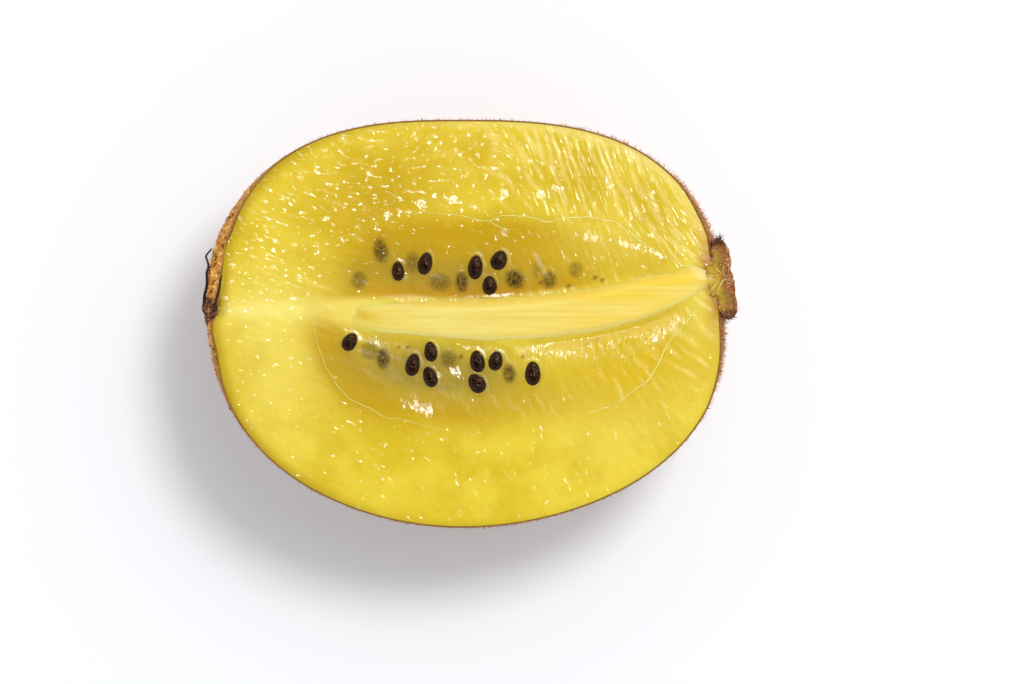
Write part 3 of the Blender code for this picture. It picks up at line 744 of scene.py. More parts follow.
def flesh_tint(tree):
    """The yellow of the flesh, with its gold, cream, green and grey parts, and cream dashes that are partly pale cells
    and partly painted highlight.
    """
    patches = speckle(tree, place_mm(tree, (0.16, 0.16, 0.16)), 1.0, 3.0)
    tint = mix(tree, between(tree, patches, 0.38, 0.66), YELLOW, YELLOW_DEEP)
    # Cream on the wet ridges: partly the pale cells of the flesh, partly a painted highlight of their glints.
    cells = maths(tree, "MULTIPLY", wet_islands(tree), 0.30)
    tint = mix(tree, cells, tint, CREAM)
    ragged = maths(tree, "ADD", 0.75, maths(tree, "MULTIPLY", speckle(tree, place_mm(tree), 0.9, 4.0), 0.5))
    for name, part in (("gold", GOLD), ("amber", AMBER), ("pale", CREAM), ("green", GREEN), ("haze_and_shade", HAZE_AND_SHADE_GREY), ("speck", SPECK_BROWN), ("deep", DEEP_YELLOW), ("tan", TAN)):
        tint = mix(tree, maths(tree, "MULTIPLY", stored(tree, name), ragged), tint, part)
    film = speckle(tree, place_mm(tree, (2.6, 1.5, 1)), 1.3, 3.0)
    veiled = maths(tree, "MULTIPLY", stored(tree, "shade"), between(tree, film, 0.36, 0.60, 0.65, 1.1))
    return mix(tree, veiled, tint, SEED_GREY)


flesh_material, tree, shader = new_material("wet_golden_flesh")
wire(tree, shader.inputs["Base Color"], flesh_tint(tree))
relief = wet_relief(tree)
wire(tree, shader.inputs["Normal"], bumps(tree, relief, RIDGE_DEPTH * 0.12))
wire(tree, shader.inputs["Coat Normal"], bumps(tree, relief, RIDGE_DEPTH))
shader.inputs["Roughness"].default_value = 0.5
shader.inputs["Specular IOR Level"].default_value = 0.08
shader.inputs["Subsurface Weight"].default_value = 0.5
shader.inputs["Subsurface Radius"].default_value = SCATTER
shader.inputs["Subsurface Scale"].default_value = 0.8 * MM
shader.inputs["Coat Weight"].default_value = 0.9
shader.inputs["Coat Roughness"].default_value = 0.07
shader.inputs["Coat IOR"].default_value = 1.75
flesh = add_piece("flesh_cut", flesh_mesh, flesh_material, "flesh", "flesh")

# %% [markdown]
# The core
#
# The pale core is firmer than the flesh round it, so it stands a little proud along the middle, and it
# tapers towards the blossom end until it melts into the flesh. It is made like the flesh, as a lid with
# rings below, but between its two given edges. Fibres run along it.

# %% Shape of the core
CORE_ENDS = (-29.3, 29.0)
CORE_CELLS = ((520, 60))
CORE_RISE_STOPS = ((-29, -0.6), (-18, -0.4), (-12, 0.02), (-6, 0.16), (0, 0.24), (15, 0.22), (28, 0.10))
CORE_NEAR_SHOULDER = 0.9
CORE_FAR_SHOULDER = 1.6
core_rise = smooth_line(CORE_RISE_STOPS)

core_mesh = lid_mesh("core", *CORE_CELLS, 5)
unit = points_of(core_mesh) * MM
core_x = CORE_ENDS[0] + (unit[:, 0] + 1) / 2 * (CORE_ENDS[1] - CORE_ENDS[0])
half = (core_far(core_x) - core_near(core_x)) / 2
half = half * np.sqrt(1 - smooth_step(0.985, 1.0, np.abs(unit[:, 0])) * 0.9)
half = half * (1 - 0.55 * smooth_step(25.5, 29, core_x))
wander = np.array([noise.noise(Vector((x * 0.5, side * 3, 2))) for x, side in zip(core_x, unit[:, 1])])
sunk = -unit[:, 2]
side = unit[:, 1] * np.cos(sunk * np.pi / 2 * 0.96)
core_y = (core_far(core_x) + core_near(core_x)) / 2 - 0.55 * smooth_step(26, 29, core_x) + side * half + 0.12 * wander * np.abs(unit[:, 1])
from_edge = (1 - np.abs(unit[:, 1])) * half
shoulder = smooth_step(0, np.where(unit[:, 1] < 0, CORE_NEAR_SHOULDER, CORE_FAR_SHOULDER), from_edge)
fibres = np.array([noise.noise(Vector((x * 0.12, y * 2.6, 7))) for x, y in zip(core_x, core_y)])
top = face_height(core_x, core_y) * (1 - 0.4 * shoulder) - 0.05 + (0.05 + core_rise(core_x)) * shoulder
top = top + 0.02 * fibres * shoulder
core_z = CUT_HEIGHT + top - sunk * 0.9 * np.minimum(half, 2.4)
move_points(core_mesh, np.stack([core_x, core_y, core_z], axis=-1))
edge = np.clip(from_edge / np.maximum(half, 0.1), 0, 1)
keep_number(core_mesh, "rim_line", np.exp(-(((from_edge - 0.35) / 0.4) ** 2)) * (unit[:, 1] < 0) * smooth_step(-14, -8, core_x))
melting = (1 - smooth_step(0.1, 1.0, from_edge)) * (1 - 0.8 * smooth_step(-14, -2, core_x) * (unit[:, 1] < 0))
into_amber = (1 - smooth_step(0.35, 1.7, from_edge)) * (unit[:, 1] > 0) * smooth_step(-13, -5, core_x)
into_amber = into_amber * (1 - 0.5 * smooth_step(10, 20, core_x))
amber_spot = 1.2 * spot(core_x, core_y, (-12.4, 1.0), (2.1, 0.6), -12)
amber_spot = amber_spot + 0.7 * spot(core_x, core_y, (-14.6, 1.7), (0.9, 0.4), 20)
keep_number(core_mesh, "into_amber", np.maximum(into_amber, amber_spot))
keep_number(core_mesh, "melting", np.maximum(melting, 0.9 * (1 - smooth_step(-13, -2, core_x))))
keep_number(core_mesh, "towards_stem", smooth_step(-6, 24, core_x) * (0.55 + 0.45 * smooth_step(-0.6, 0.6, unit[:, 1])))
keep_number(core_mesh, "stalk_end", smooth_step(26.0, 28.8, core_x))
print("core", len(core_mesh.vertices), "points")

# %% [markdown]
# The fibres of the core
#
# The core is nearly white in the middle of the fruit and yellower towards the stem. Long fibres run from
# end to end, so the noise is stretched hard along the fruit. It is moist, but less glassy than the flesh.

# %% Material of the core
CORE_CREAM = colour(226, 202, 90)
CORE_WHITE = colour(235, 216, 118)
CORE_YELLOW = colour(236, 200, 4)
CORE_AMBER = colour(220, 182, 30)
CORE_MELT = colour(230, 206, 88)
CORE_TIP = colour(196, 160, 44)

core_material, tree, shader = new_material("moist_pale_core")
long_fibres = speckle(tree, place_mm(tree, (0.12, 1.5, 1)), 1.0, 3.0, 0.5)
broad_bands = speckle(tree, place_mm(tree, (0.05, 0.55, 1)), 1.0, 2.0)
tint = mix(tree, between(tree, long_fibres, 0.30, 0.74, 0.2, 0.9), CORE_CREAM, CORE_WHITE)
yellowing = maths(tree, "MULTIPLY", stored(tree, "towards_stem"), between(tree, broad_bands, 0.35, 0.6, 0.55, 1.0))
tint = mix(tree, yellowing, tint, CORE_YELLOW)
tint = mix(tree, maths(tree, "MULTIPLY", stored(tree, "melting"), 0.85), tint, CORE_MELT)
soft = between(tree, speckle(tree, place_mm(tree), 0.8), 0.3, 0.7, 0.7, 1.0)
tint = mix(tree, maths(tree, "MULTIPLY", stored(tree, "into_amber"), soft), tint, CORE_AMBER)
tint = mix(tree, maths(tree, "MULTIPLY", stored(tree, "rim_line"), 0.6), tint, CORE_WHITE)
tint = mix(tree, maths(tree, "MULTIPLY", stored(tree, "stalk_end"), 0.9), tint, CORE_TIP)
wire(tree, shader.inputs["Base Color"], tint)
dents = maths(tree, "ADD", long_fibres, maths(tree, "MULTIPLY", speckle(tree, place_mm(tree, (1.2, 2.4, 1)), 1.6), 0.6))
wire(tree, shader.inputs["Normal"], bumps(tree, dents, 0.02))
wire(tree, shader.inputs["Coat Normal"], bumps(tree, dents, 0.05))
shader.inputs["Roughness"].default_value = 0.5
shader.inputs["Subsurface Weight"].default_value = 0.55
shader.inputs["Subsurface Radius"].default_value = SCATTER
shader.inputs["Subsurface Scale"].default_value = 0.9 * MM
shader.inputs["Coat Weight"].default_value = 0.35
shader.inputs["Coat Roughness"].default_value = 0.25
shader.inputs["Coat IOR"].default_value = 1.5
core = add_piece("core_cut", core_mesh, core_material, "core", "core")

# %% [markdown]
# Thin strands
#
# The fruit's veins run as pale threads round the inner flesh. A curve with a little thickness is the
# simplest way to lay a thread, and here its points rest on the height of the face, half sunk in.

# %% Strands laid on the cut face
STRANDS = {
    "far": (
        (-7.4, 12.6), (-5.2, 12.9), (-3.4, 12.8), (-1.1, 12.6), (0.8, 12.1), (2.3, 11.9), (3.8, 12.6),
        (6.4, 12.5), (7.9, 12.2), (9.0, 11.8), (10.9, 12.3), (13.9, 12.4), (16.7, 11.9), (18.6, 10.7),
        (19.9, 9.5), (22.1, 8.2), (23.6, 7.3), (25.1, 6.6),
    ),
    "near": (
        (27.0, 3.6), (26.6, 2.6), (26.2, 1.5), (25.0, 0.0), (23.6, -1.5), (22.7, -2.8), (22.0, -4.5),
        (21.2, -5.8), (20.6, -6.7), (19.1, -7.7), (17.8, -8.7), (16.1, -9.6), (13.9, -10.3),
    ),
    "blossom": (
        (-18.2, 0.2), (-17.6, -2.4), (-16.7, -4.9), (-15.3, -7.2), (-13.8, -8.8), (-11.7, -9.7), (-9.7, -10.9),
        (-8.0, -11.0), (-3.0, -12.4),
    ),
    "branch": ((2.4, 11.9), (3.1, 11.4), (4.0, 11.0), (5.2, 10.9)),
    "stray": ((-3.9, 16.2), (-4.0, 15.0), (-3.6, 13.8), (-3.4, 12.8)),
}
STRAND_THICKNESS = {"far": 0.075, "near": 0.08, "blossom": 0.04, "branch": 0.045, "stray": 0.04}


def mesh_of(curve_object):
    """The mesh that a curve object makes, which then takes its place."""
    graph = bpy.context.evaluated_depsgraph_get()
    mesh = bpy.data.meshes.new_from_object(curve_object.evaluated_get(graph))
    bpy.data.objects.remove(curve_object)
    return mesh


def thread(name, places, thickness, taper=None, sides=2):
    """A thin tube through these places in millimetres, as a mesh."""
    curve = bpy.data.curves.new(name, "CURVE")
    curve.dimensions = "3D"
    curve.resolution_u = 4
    curve.bevel_depth = thickness * MM
    curve.bevel_resolution = sides
    curve.use_fill_caps = True
    spline = curve.splines.new("BEZIER")
    spline.bezier_points.add(len(places) - 1)
    for index, (point, place) in enumerate(zip(spline.bezier_points, places)):
        point.co = Vector(place) * MM
        point.handle_left_type = "AUTO"
        point.handle_right_type = "AUTO"
        point.radius = taper(index / (len(places) - 1)) if taper else 1.0
    obj = bpy.data.objects.new(name, curve)
    bpy.context.scene.collection.objects.link(obj)
    return mesh_of(obj)


def joined(name, meshes):
    """One mesh that holds all of these."""
    form = bmesh.new()
    for mesh in meshes:
        form.from_mesh(mesh)
    bmesh.ops.remove_doubles(form, verts=form.verts, dist=0.001 * MM)
    whole = bpy.data.meshes.new(name)
    form.to_mesh(whole)
    form.free()
    return whole


def strand(name, stops):
    """A thread along the face, bent a little from side to side."""
    route = np.array(stops)
    steps = np.linspace(0, len(route) - 1, len(route) * 4)
    x = np.interp(steps, np.arange(len(route)), route[:, 0])
    y = np.interp(steps, np.arange(len(route)), route[:, 1])
    y = y + np.array([0.10 * noise.noise(Vector((a * 1.1, 4, 0))) for a in x])
    z = CUT_HEIGHT + face_height(x, y)
    thin = STRAND_THICKNESS[name]
    return thread(name, np.stack([x, y, z], axis=-1), thin, lambda share: 1.0 - 0.5 * abs(2 * share - 1))


strand_material, tree, shader = new_material("pale_strand")
shader.inputs["Base Color"].default_value = (*colour(250, 232, 130), 1)
tone = speckle(tree, place_mm(tree), 1.4)
wire(tree, shader.inputs["Base Color"], mix(tree, between(tree, tone, 0.35, 0.65), colour(232, 206, 74), colour(246, 230, 130)))
shader.inputs["Roughness"].default_value = 0.4
shader.inputs["Subsurface Weight"].default_value = 0.4
shader.inputs["Subsurface Radius"].default_value = SCATTER
shader.inputs["Subsurface Scale"].default_value = 0.5 * MM
shader.inputs["Coat Weight"].default_value = 0.7
strands = joined("strands", [strand(name, stops) for name, stops in STRANDS.items()])
add_piece("vein_strands", strands, strand_material, "core")

# %% [markdown]
# The seeds
#
# A kiwi seed is a flattened egg with a pitted, almost black skin, and here it is wet. Each one starts as
# a ball that is drawn out, narrowed at one end and dimpled by noise. They lie half sunk in their collars.

# %% Shape of the seeds
SEED_SIDES = 40
SEED_SINK = 0.12


def seed_mesh(number, middle, length, width, turn):
    form = bmesh.new()
    bmesh.ops.create_uvsphere(form, u_segments=SEED_SIDES, v_segments=SEED_SIDES * 3 // 4, radius=1)
    bmesh.ops.rotate(form, cent=(0, 0, 0), matrix=Matrix.Rotation(math.pi / 2, 3, "X"), verts=form.verts)
    for vert in form.verts:
        pit = 1 - 0.07 * abs(noise.noise(vert.co * 4.6 + Vector((number * 7.0, 0, 0))))
        taper = (1 - 0.13 * vert.co.y) * pit
        size = (width / 2 * taper, length / 2 * pit, SEED_THICKNESS / 2 * taper)
        vert.co = Vector(a * b for a, b in zip(vert.co, size))
    bmesh.ops.rotate(form, cent=(0, 0, 0), matrix=Matrix.Rotation(-math.radians(turn), 3, "Z"), verts=form.verts)
    bmesh.ops.scale(form, vec=(MM, MM, MM), verts=form.verts)
    x, y = middle
    ground = CUT_HEIGHT + float(face_height(np.array(x), np.array(y)))
    bmesh.ops.translate(form, vec=Vector((x, y, ground - SEED_SINK)) * MM, verts=form.verts)
    mesh = bpy.data.meshes.new("seed")
    form.to_mesh(mesh)
    form.free()
    return mesh


seeds_mesh = joined("seeds", [seed_mesh(number, *place) for number, place in enumerate(FREE_SEEDS)])
seed_material, tree, shader = new_material("wet_black_seed")
pits = speckle(tree, place_mm(tree), 4.5, 3.0)
wire(tree, shader.inputs["Base Color"], mix(tree, between(tree, pits, 0.45, 0.7), colour(12, 3, 1), colour(50, 16, 4)))
wire(tree, shader.inputs["Normal"], bumps(tree, speckle(tree, place_mm(tree), 2.4, 2.0), 0.20))
shader.inputs["Roughness"].default_value = 0.05
shader.inputs["Specular IOR Level"].default_value = 0.3
shader.inputs["Specular Tint"].default_value = (1.0, 0.62, 0.36, 1)
seeds = add_piece("seeds", seeds_mesh, seed_material, "seed")

# %% [markdown]
# The skin
#
# The skin is a thin bronze peel. It is an open bowl of rings given a thickness, with a fine leathery
# wrinkle. From above only its edge shows, and a strip where the blossom end bulges past the cut.

# %% Shape of the skin
SKIN_SEGMENTS = 480
SKIN_RINGS = 72
SKIN_THICKNESS = 0.2


form = bmesh.new()
bmesh.ops.create_circle(form, segments=SKIN_SEGMENTS, radius=1)
hang_rings(form, SKIN_RINGS)
skin_mesh = bpy.data.meshes.new("skin")
form.to_mesh(skin_mesh)
form.free()
unit = points_of(skin_mesh) * MM
angle = np.arctan2(unit[:, 1], unit[:, 0])
shape = back_points(angle, -unit[:, 2] * np.pi / 2, 0.0)
towards_flower = np.exp(-(((np.degrees(angle) % 360 - 168) / 20) ** 2))
# Towards the dry flower and near the cut the skin is paler, and the strip seen from above also carries painted light.
keep_number(skin_mesh, "pale_and_lit_end", towards_flower * smooth_step(10, 18, shape[:, 2]))
keep_number(skin_mesh, "cut_edge", 1 - smooth_step(0.05, 0.3, CUT_HEIGHT - shape[:, 2] - RIM_DROP))
wrinkle = np.array([noise.noise(Vector(p) * 0.35) + 0.5 * noise.noise(Vector(p) * 1.3) for p in shape])
inward = -0.10 * np.abs(wrinkle) * smooth_step(0.02, 0.10, -unit[:, 2]) * (shape[:, 2] > 0.3)
heart = np.array((MIDDLE[0], MIDDLE[1], CUT_HEIGHT))
ray = shape - heart
shape = shape + ray / np.linalg.norm(ray, axis=1)[:, None] * inward[:, None]
move_points(skin_mesh, shape)
skin_holder = bpy.data.objects.new("skin_holder", skin_mesh)
bpy.context.scene.collection.objects.link(skin_holder)
shell = skin_holder.modifiers.new("thickness", "SOLIDIFY")
shell.thickness = SKIN_THICKNESS * MM
shell.offset = -1
skin_mesh = mesh_of(skin_holder)
print("skin points", len(skin_mesh.vertices))

# %% Material of the skin
BRONZE = colour(146, 98, 42)
BRONZE_LIGHT = colour(176, 124, 60)
BRONZE_DARK = colour(96, 60, 28)
OLIVE = colour(120, 104, 40)
RIM_BROWN = colour(132, 92, 34)
FLECK_GOLD = colour(214, 164, 92)
SUNNY_TAN = colour(234, 168, 70)

skin_material, tree, shader = new_material("bronze_peel")
mottle = speckle(tree, place_mm(tree, (0.22, 0.22, 0.22)), 1.0, 4.0)
grain = speckle(tree, place_mm(tree, (1, 1, 0.7)), 1.9, 4.0, 0.7)
flecks = speckle(tree, place_mm(tree, (1, 1, 0.7)), 2.6, 3.0, 0.6)
tint = mix(tree, between(tree, mottle, 0.35, 0.68), BRONZE, BRONZE_LIGHT)
tint = mix(tree, between(tree, mottle, 0.30, 0.42, 0.6, 0.0), tint, OLIVE)
# Lighter tan and brighter gold flecks on that strip: partly paler skin, partly painted light.
tint = mix(tree, maths(tree, "MULTIPLY", stored(tree, "pale_and_lit_end"), 0.75), tint, SUNNY_TAN)
tint = mix(tree, between(tree, grain, 0.50, 0.66, 0.0, 0.5), tint, BRONZE_DARK)
lit = between(tree, stored(tree, "pale_and_lit_end"), 0.0, 1.0, 0.35, 1.0)
tint = mix(tree, maths(tree, "MULTIPLY", between(tree, flecks, 0.54, 0.64, 0.0, 0.75), lit), tint, FLECK_GOLD)
cells = put(tree, "TexVoronoi", {"Vector": place_mm(tree), "Scale": 1.5}).outputs["Distance"]
tint = mix(tree, between(tree, cells, 0.02, 0.22, 0.6, 0.0), tint, BRONZE_DARK)
tint = mix(tree, maths(tree, "MULTIPLY", stored(tree, "cut_edge"), between(tree, mottle, 0.35, 0.6, 0.3, 0.9)), tint, RIM_BROWN)
wire(tree, shader.inputs["Base Color"], tint)
wire(tree, shader.inputs["Normal"], bumps(tree, maths(tree, "ADD", grain, between(tree, cells, 0.0, 0.25)), 0.16))
shader.inputs["Roughness"].default_value = 0.62
shader.inputs["Specular IOR Level"].default_value = 0.12
shader.inputs["Sheen Weight"].default_value = 0.05
skin = add_piece("skin_peel", skin_mesh, skin_material, "skin", "skin")

# %% [markdown]
# Places on the skin
#
# Hairs, crumbs and dry filaments all stand on the skin, so they ask one function for a place there: which
# way round the fruit, how deep under the cut, and how far off the skin. The way off the skin is found
# from two short steps along it, whose cross product points straight out.

# %% A place on the skin
SKIN_STEP = 0.004


def on_skin(angle, depth, off):
    """Places this far off the skin, and the way straight out of it there."""
    share = np.clip(depth / (CUT_HEIGHT + REST_FLAT), 0, 1) ** (BELLY / 2)
    fall = np.clip(np.arcsin(share), SKIN_STEP, np.pi / 2 - SKIN_STEP)
    here = back_points(angle, fall, 0.0)
    along = back_points(angle + SKIN_STEP, fall, 0.0) - back_points(angle - SKIN_STEP, fall, 0.0)
    down = back_points(angle, fall + SKIN_STEP, 0.0) - back_points(angle, fall - SKIN_STEP, 0.0)
    out = np.cross(down, along)
    out = out / np.linalg.norm(out, axis=-1, keepdims=True)
    return here + out * np.expand_dims(off, -1), out


place, way = on_skin(np.radians(177.0), np.array(2.8), np.array(0.3))
print("the dry flower sits at", place.round(1), "facing", way.round(2))

# %% [markdown]
# Short hairs
#
# A golden kiwi has only a fine down, a little longer round the stem end. Each hair is a thin three-sided
# spike with one bend, all in one mesh. A hair system would look alike, but it makes no mesh.

# %% Thousands of bent spikes in one mesh
HAIR_COUNT = 9000
HAIR_ROOT = 0.045
HAIR_LENGTHS = (0.20, 0.46)
HAIR_STEM_EXTRA = 0.42
STEM_FUZZ = {"degrees": (-14, 34), "depths": (0.05, 3.0), "lengths": (0.25, 0.7), "count": 700}
FLOOR_CLEAR = 0.05
chance = np.random.default_rng(7)


def spikes(name, roots, ways, lengths, thickness, bend):
    """Three-sided spikes from these roots, each bent aside halfway."""
    count = len(roots)
    ways = ways / np.linalg.norm(ways, axis=1, keepdims=True)
    side = np.cross(ways, chance.normal(size=(count, 3)))
    side = side / np.linalg.norm(side, axis=1, keepdims=True)
    other = np.cross(ways, side)
    middle = roots + ways * lengths[:, None] * 0.5
    tip = roots + ways * lengths[:, None] + side * (lengths * bend)[:, None]
    rings = []
    for centre, thin in ((roots, 1.0), (middle, 0.7)):
        for turn in (0, 2 * math.pi / 3, 4 * math.pi / 3):
            arm = side * math.cos(turn) + other * math.sin(turn)
            rings.append(centre + arm * (thickness * thin)[:, None])
    points = np.stack([*rings, tip], axis=1).reshape(-1, 3)
    points[:, 2] = np.maximum(points[:, 2], FLOOR_CLEAR)
    faces = []
    for start in range(0, count * 7, 7):
        for a, b in ((0, 1), (1, 2), (2, 0)):
            faces.append((start + a, start + b, start + b + 3, start + a + 3))
            faces.append((start + a + 3, start + b + 3, start + 6))
    mesh = bpy.data.meshes.new(name)
    mesh.from_pydata(points * MM, [], faces)
    return mesh


angle = chance.uniform(-np.pi, np.pi, HAIR_COUNT)
depth = 0.15 + (CUT_HEIGHT - 1.2) * chance.uniform(0, 1, HAIR_COUNT) ** 1.5
roots, ways = on_skin(angle, depth, np.full(HAIR_COUNT, -0.05))
stemwards = smooth_step(0.62, 0.95, np.cos(angle - math.radians(18)))
kept = chance.uniform(0, 1, HAIR_COUNT) < 0.5 + 0.5 * stemwards
lengths = chance.uniform(*HAIR_LENGTHS, HAIR_COUNT) + HAIR_STEM_EXTRA * stemwards * chance.uniform(0.2, 1, HAIR_COUNT)
ways = ways + chance.normal(scale=0.45, size=ways.shape) + np.array((0, 0, -0.1))
thickness = HAIR_ROOT * chance.uniform(0.5, 1.0, HAIR_COUNT)
fuzz_angle = np.radians(chance.uniform(*STEM_FUZZ["degrees"], STEM_FUZZ["count"]))
fuzz_roots, fuzz_ways = on_skin(fuzz_angle, chance.uniform(*STEM_FUZZ["depths"], STEM_FUZZ["count"]), -0.05)
fuzz_ways = fuzz_ways + chance.normal(scale=0.5, size=fuzz_ways.shape)
fuzz_lengths = chance.uniform(*STEM_FUZZ["lengths"], STEM_FUZZ["count"])
roots = np.concatenate([roots[kept], fuzz_roots])
ways = np.concatenate([ways[kept], fuzz_ways])
lengths = np.concatenate([lengths[kept], fuzz_lengths])
thickness = np.concatenate([thickness[kept], HAIR_ROOT * chance.uniform(0.5, 1.0, STEM_FUZZ["count"])])
hair_mesh = spikes("hairs", roots, ways, lengths, thickness, 0.35)

hair_material, tree, shader = new_material("tan_down")
tone = speckle(tree, place_mm(tree), 1.8, 1.0)
wire(tree, shader.inputs["Base Color"], mix(tree, between(tree, tone, 0.35, 0.65), colour(150, 88, 38), colour(232, 176, 112)))
shader.inputs["Roughness"].default_value = 0.7
shader.inputs["Specular IOR Level"].default_value = 0.15
add_piece("skin_hairs", hair_mesh, hair_material, "skin")

# %% [markdown]
# Scurf beside the dry flower
#
# Round the blossom end the skin shows from above as a tan strip, rough with golden and brown flakes. Each
# flake is a small lump pressed on the skin. Real lumps catch the light at this flat angle, where a colour
# pattern alone would blur into one tone.

# %% Small flakes on the strip of skin
SCURF_COUNT = 1500
SCURF_DEGREES = (171, 11)
SCURF_DEPTHS = (0.1, 6.0)
SCURF_SIZES = (0.06, 0.19)


def crumb(number, place, size, rounds=2):
    """An uneven lump of about this size."""
    form = bmesh.new()
    bmesh.ops.create_icosphere(form, subdivisions=rounds, radius=size)
    stretch = Vector(chance.uniform(0.55, 1.5, 3))
    for vert in form.verts:
        lump = 1 + 0.45 * noise.noise(vert.co / size * 1.5 + Vector((number * 5.0, 0, 0)))
        vert.co = Vector(a * b for a, b in zip(vert.co * lump, stretch))
    bmesh.ops.translate(form, vec=place, verts=form.verts)
    bmesh.ops.scale(form, vec=(MM, MM, MM), verts=form.verts)
    mesh = bpy.data.meshes.new("crumb")
    form.to_mesh(mesh)
    form.free()
    return mesh


angle = np.radians(chance.normal(*SCURF_DEGREES, SCURF_COUNT))
places, _ = on_skin(angle, chance.uniform(*SCURF_DEPTHS, SCURF_COUNT), -0.04)
sizes = chance.uniform(*SCURF_SIZES, SCURF_COUNT)
scurf_mesh = joined("scurf", [crumb(n, Vector(p), size, 1) for n, (p, size) in enumerate(zip(places, sizes))])
scurf_material, tree, shader = new_material("golden_scurf")
coarse = speckle(tree, place_mm(tree), 1.3, 2.0)
tint = mix(tree, between(tree, coarse, 0.38, 0.46), colour(96, 50, 18), colour(204, 132, 50))
wire(tree, shader.inputs["Base Color"], mix(tree, between(tree, coarse, 0.52, 0.60), tint, colour(246, 196, 104)))
shader.inputs["Roughness"].default_value = 0.6
shader.inputs["Specular IOR Level"].default_value = 0.15
add_piece("skin_scurf", scurf_mesh, scurf_material, "skin")

# %% [markdown]
# The stem scar
#
# Where the stalk broke off, a corky ring stands round its stub, and the knife went through both. The ring
# is a torus swollen into five lumps. Voxel remeshing melts ring, stub and woody lumps into one skin,
# which noise then roughens. It works at 0.1 and up, so the form is made at a thousand times its size.

# %% Shape of the stem scar
SCAR_CENTRE = (29.5, 5.3)
SCAR_TURN = math.radians(9)
SCAR_RING_RADIUS = 2.9
SCAR_RING_REACH = 1.7
SCAR_RING_RISE = 1.0
SCAR_LOBES = 5
SCAR_STUB = {"inner": -1.8, "outer": 0.5, "radius": 2.1, "taper": 0.4}
SCAR_VOXEL = 0.085
# Woody lumps on the broken stalk: place along the ring, out of the fruit, and size.
WOODY_LUMPS = ((0.2, 0.55, 0.62), (-0.65, 0.70, 0.55), (-1.35, 0.55, 0.5), (0.95, 0.35, 0.5), (0.2, 0.2, 0.9))


def facing_stem(points):
    """Turns points made round Z so that they face out of the stem end."""
    turn = Matrix.Rotation(SCAR_TURN, 3, "Z") @ Matrix.Rotation(math.pi / 2, 3, "Y")
    return points @ np.array(turn).T + np.array((*SCAR_CENTRE, CUT_HEIGHT))


def ring_form(form):
    """A torus that swells into the stumps of five sepals."""
    steps = 96
    sides = 28
    verts = []
    for way in np.linspace(0, 2 * math.pi, steps, endpoint=False):
        swell = 1 + 0.11 * math.cos(SCAR_LOBES * way + 0.4) + 0.06 * math.sin(11 * way)
        for side in np.linspace(0, 2 * math.pi, sides, endpoint=False):
            out = SCAR_RING_RADIUS + SCAR_RING_REACH * swell * math.cos(side)
            verts.append(form.verts.new((out * math.cos(way), out * math.sin(way), SCAR_RING_RISE * swell * math.sin(side))))
    for a in range(steps):
        for b in range(sides):
            corners = (a * sides + b, a * sides + (b + 1) % sides)
            beyond = (((a + 1) % steps) * sides + (b + 1) % sides, ((a + 1) % steps) * sides + b)
            form.faces.new([verts[i] for i in corners + beyond])


form = bmesh.new()
ring_form(form)
stub_length = SCAR_STUB["outer"] - SCAR_STUB["inner"]
stub_middle = (SCAR_STUB["outer"] + SCAR_STUB["inner"]) / 2
radii = {"radius1": SCAR_STUB["radius"] - SCAR_STUB["taper"], "radius2": SCAR_STUB["radius"]}
placed = Matrix.Translation((0, 0, stub_middle))
bmesh.ops.create_cone(form, cap_ends=True, segments=40, depth=stub_length, matrix=placed, **radii)
for along, out, size in WOODY_LUMPS:
    bmesh.ops.create_icosphere(form, subdivisions=3, radius=size, matrix=Matrix.Translation((0.2, along, out)))
bmesh.ops.recalc_face_normals(form, faces=form.faces)
scar_form = bpy.data.meshes.new("scar_form")
form.to_mesh(scar_form)
form.free()
holder = bpy.data.objects.new("scar_holder", scar_form)
bpy.context.scene.collection.objects.link(holder)
melt = holder.modifiers.new("melt", "REMESH")
melt.mode = "VOXEL"
melt.voxel_size = SCAR_VOXEL
scar_mesh = mesh_of(holder)
points = points_of(scar_mesh) * MM
print("scar", len(points), "points", points.min(0).round(1), points.max(0).round(1))

# %% [markdown]
# Bark outside, moist fibres inside
#
# Points over the cut are pressed down to it, which leaves a dense flat face that can be shaped again: the
# moist inside sinks behind a thin wall of bark. Each point keeps how far inside it lies, and the material
# turns from cork to olive by that number.

# %% Roughen the scar and cut it through
BARK_WALL = 0.34
SUNK_INSIDE = 0.28
lumps = np.array([noise.noise(Vector(p) * 1.6) + 0.6 * noise.noise(Vector(p) * 4.2) for p in points])
cracks = np.array([abs(noise.noise(Vector((p[0] * 2.4, p[1] * 2.4, p[2] * 5.0)))) for p in points])
away = points / np.maximum(np.linalg.norm(points, axis=1, keepdims=True), 0.1)
points = points + away * (0.14 * lumps - 0.16 * (1 - smooth_step(0.0, 0.10, cracks)))[:, None]
on_cut = points[:, 0] < 0
points[:, 0] = np.maximum(points[:, 0], 0)
ring_way = np.arctan2(points[:, 1], points[:, 0])
from_axis = np.hypot(points[:, 0], points[:, 1])
swell = 1 + 0.11 * np.cos(SCAR_LOBES * ring_way + 0.4) + 0.06 * np.sin(11 * ring_way)
tube = np.hypot((from_axis - SCAR_RING_RADIUS) / (SCAR_RING_REACH * swell), points[:, 2] / (SCAR_RING_RISE * swell))
stub_end = np.abs(points[:, 2] - stub_middle) / (stub_length / 2)
stub_share = np.maximum(from_axis / SCAR_STUB["radius"], stub_end)
wall = (1 - np.minimum(tube, stub_share)) * SCAR_RING_RISE * 1.25
inside = smooth_step(BARK_WALL - 0.12, BARK_WALL + 0.12, wall)
buried = (points[:, 2] < -0.35) * (from_axis < SCAR_STUB["radius"] + 0.2)
inside = np.maximum(inside * on_cut, buried)
points[:, 0] += on_cut * (SUNK_INSIDE * inside - 0.05 * lumps)
points[:, 0] = np.maximum(points[:, 0], -0.04)
move_points(scar_mesh, facing_stem(points))
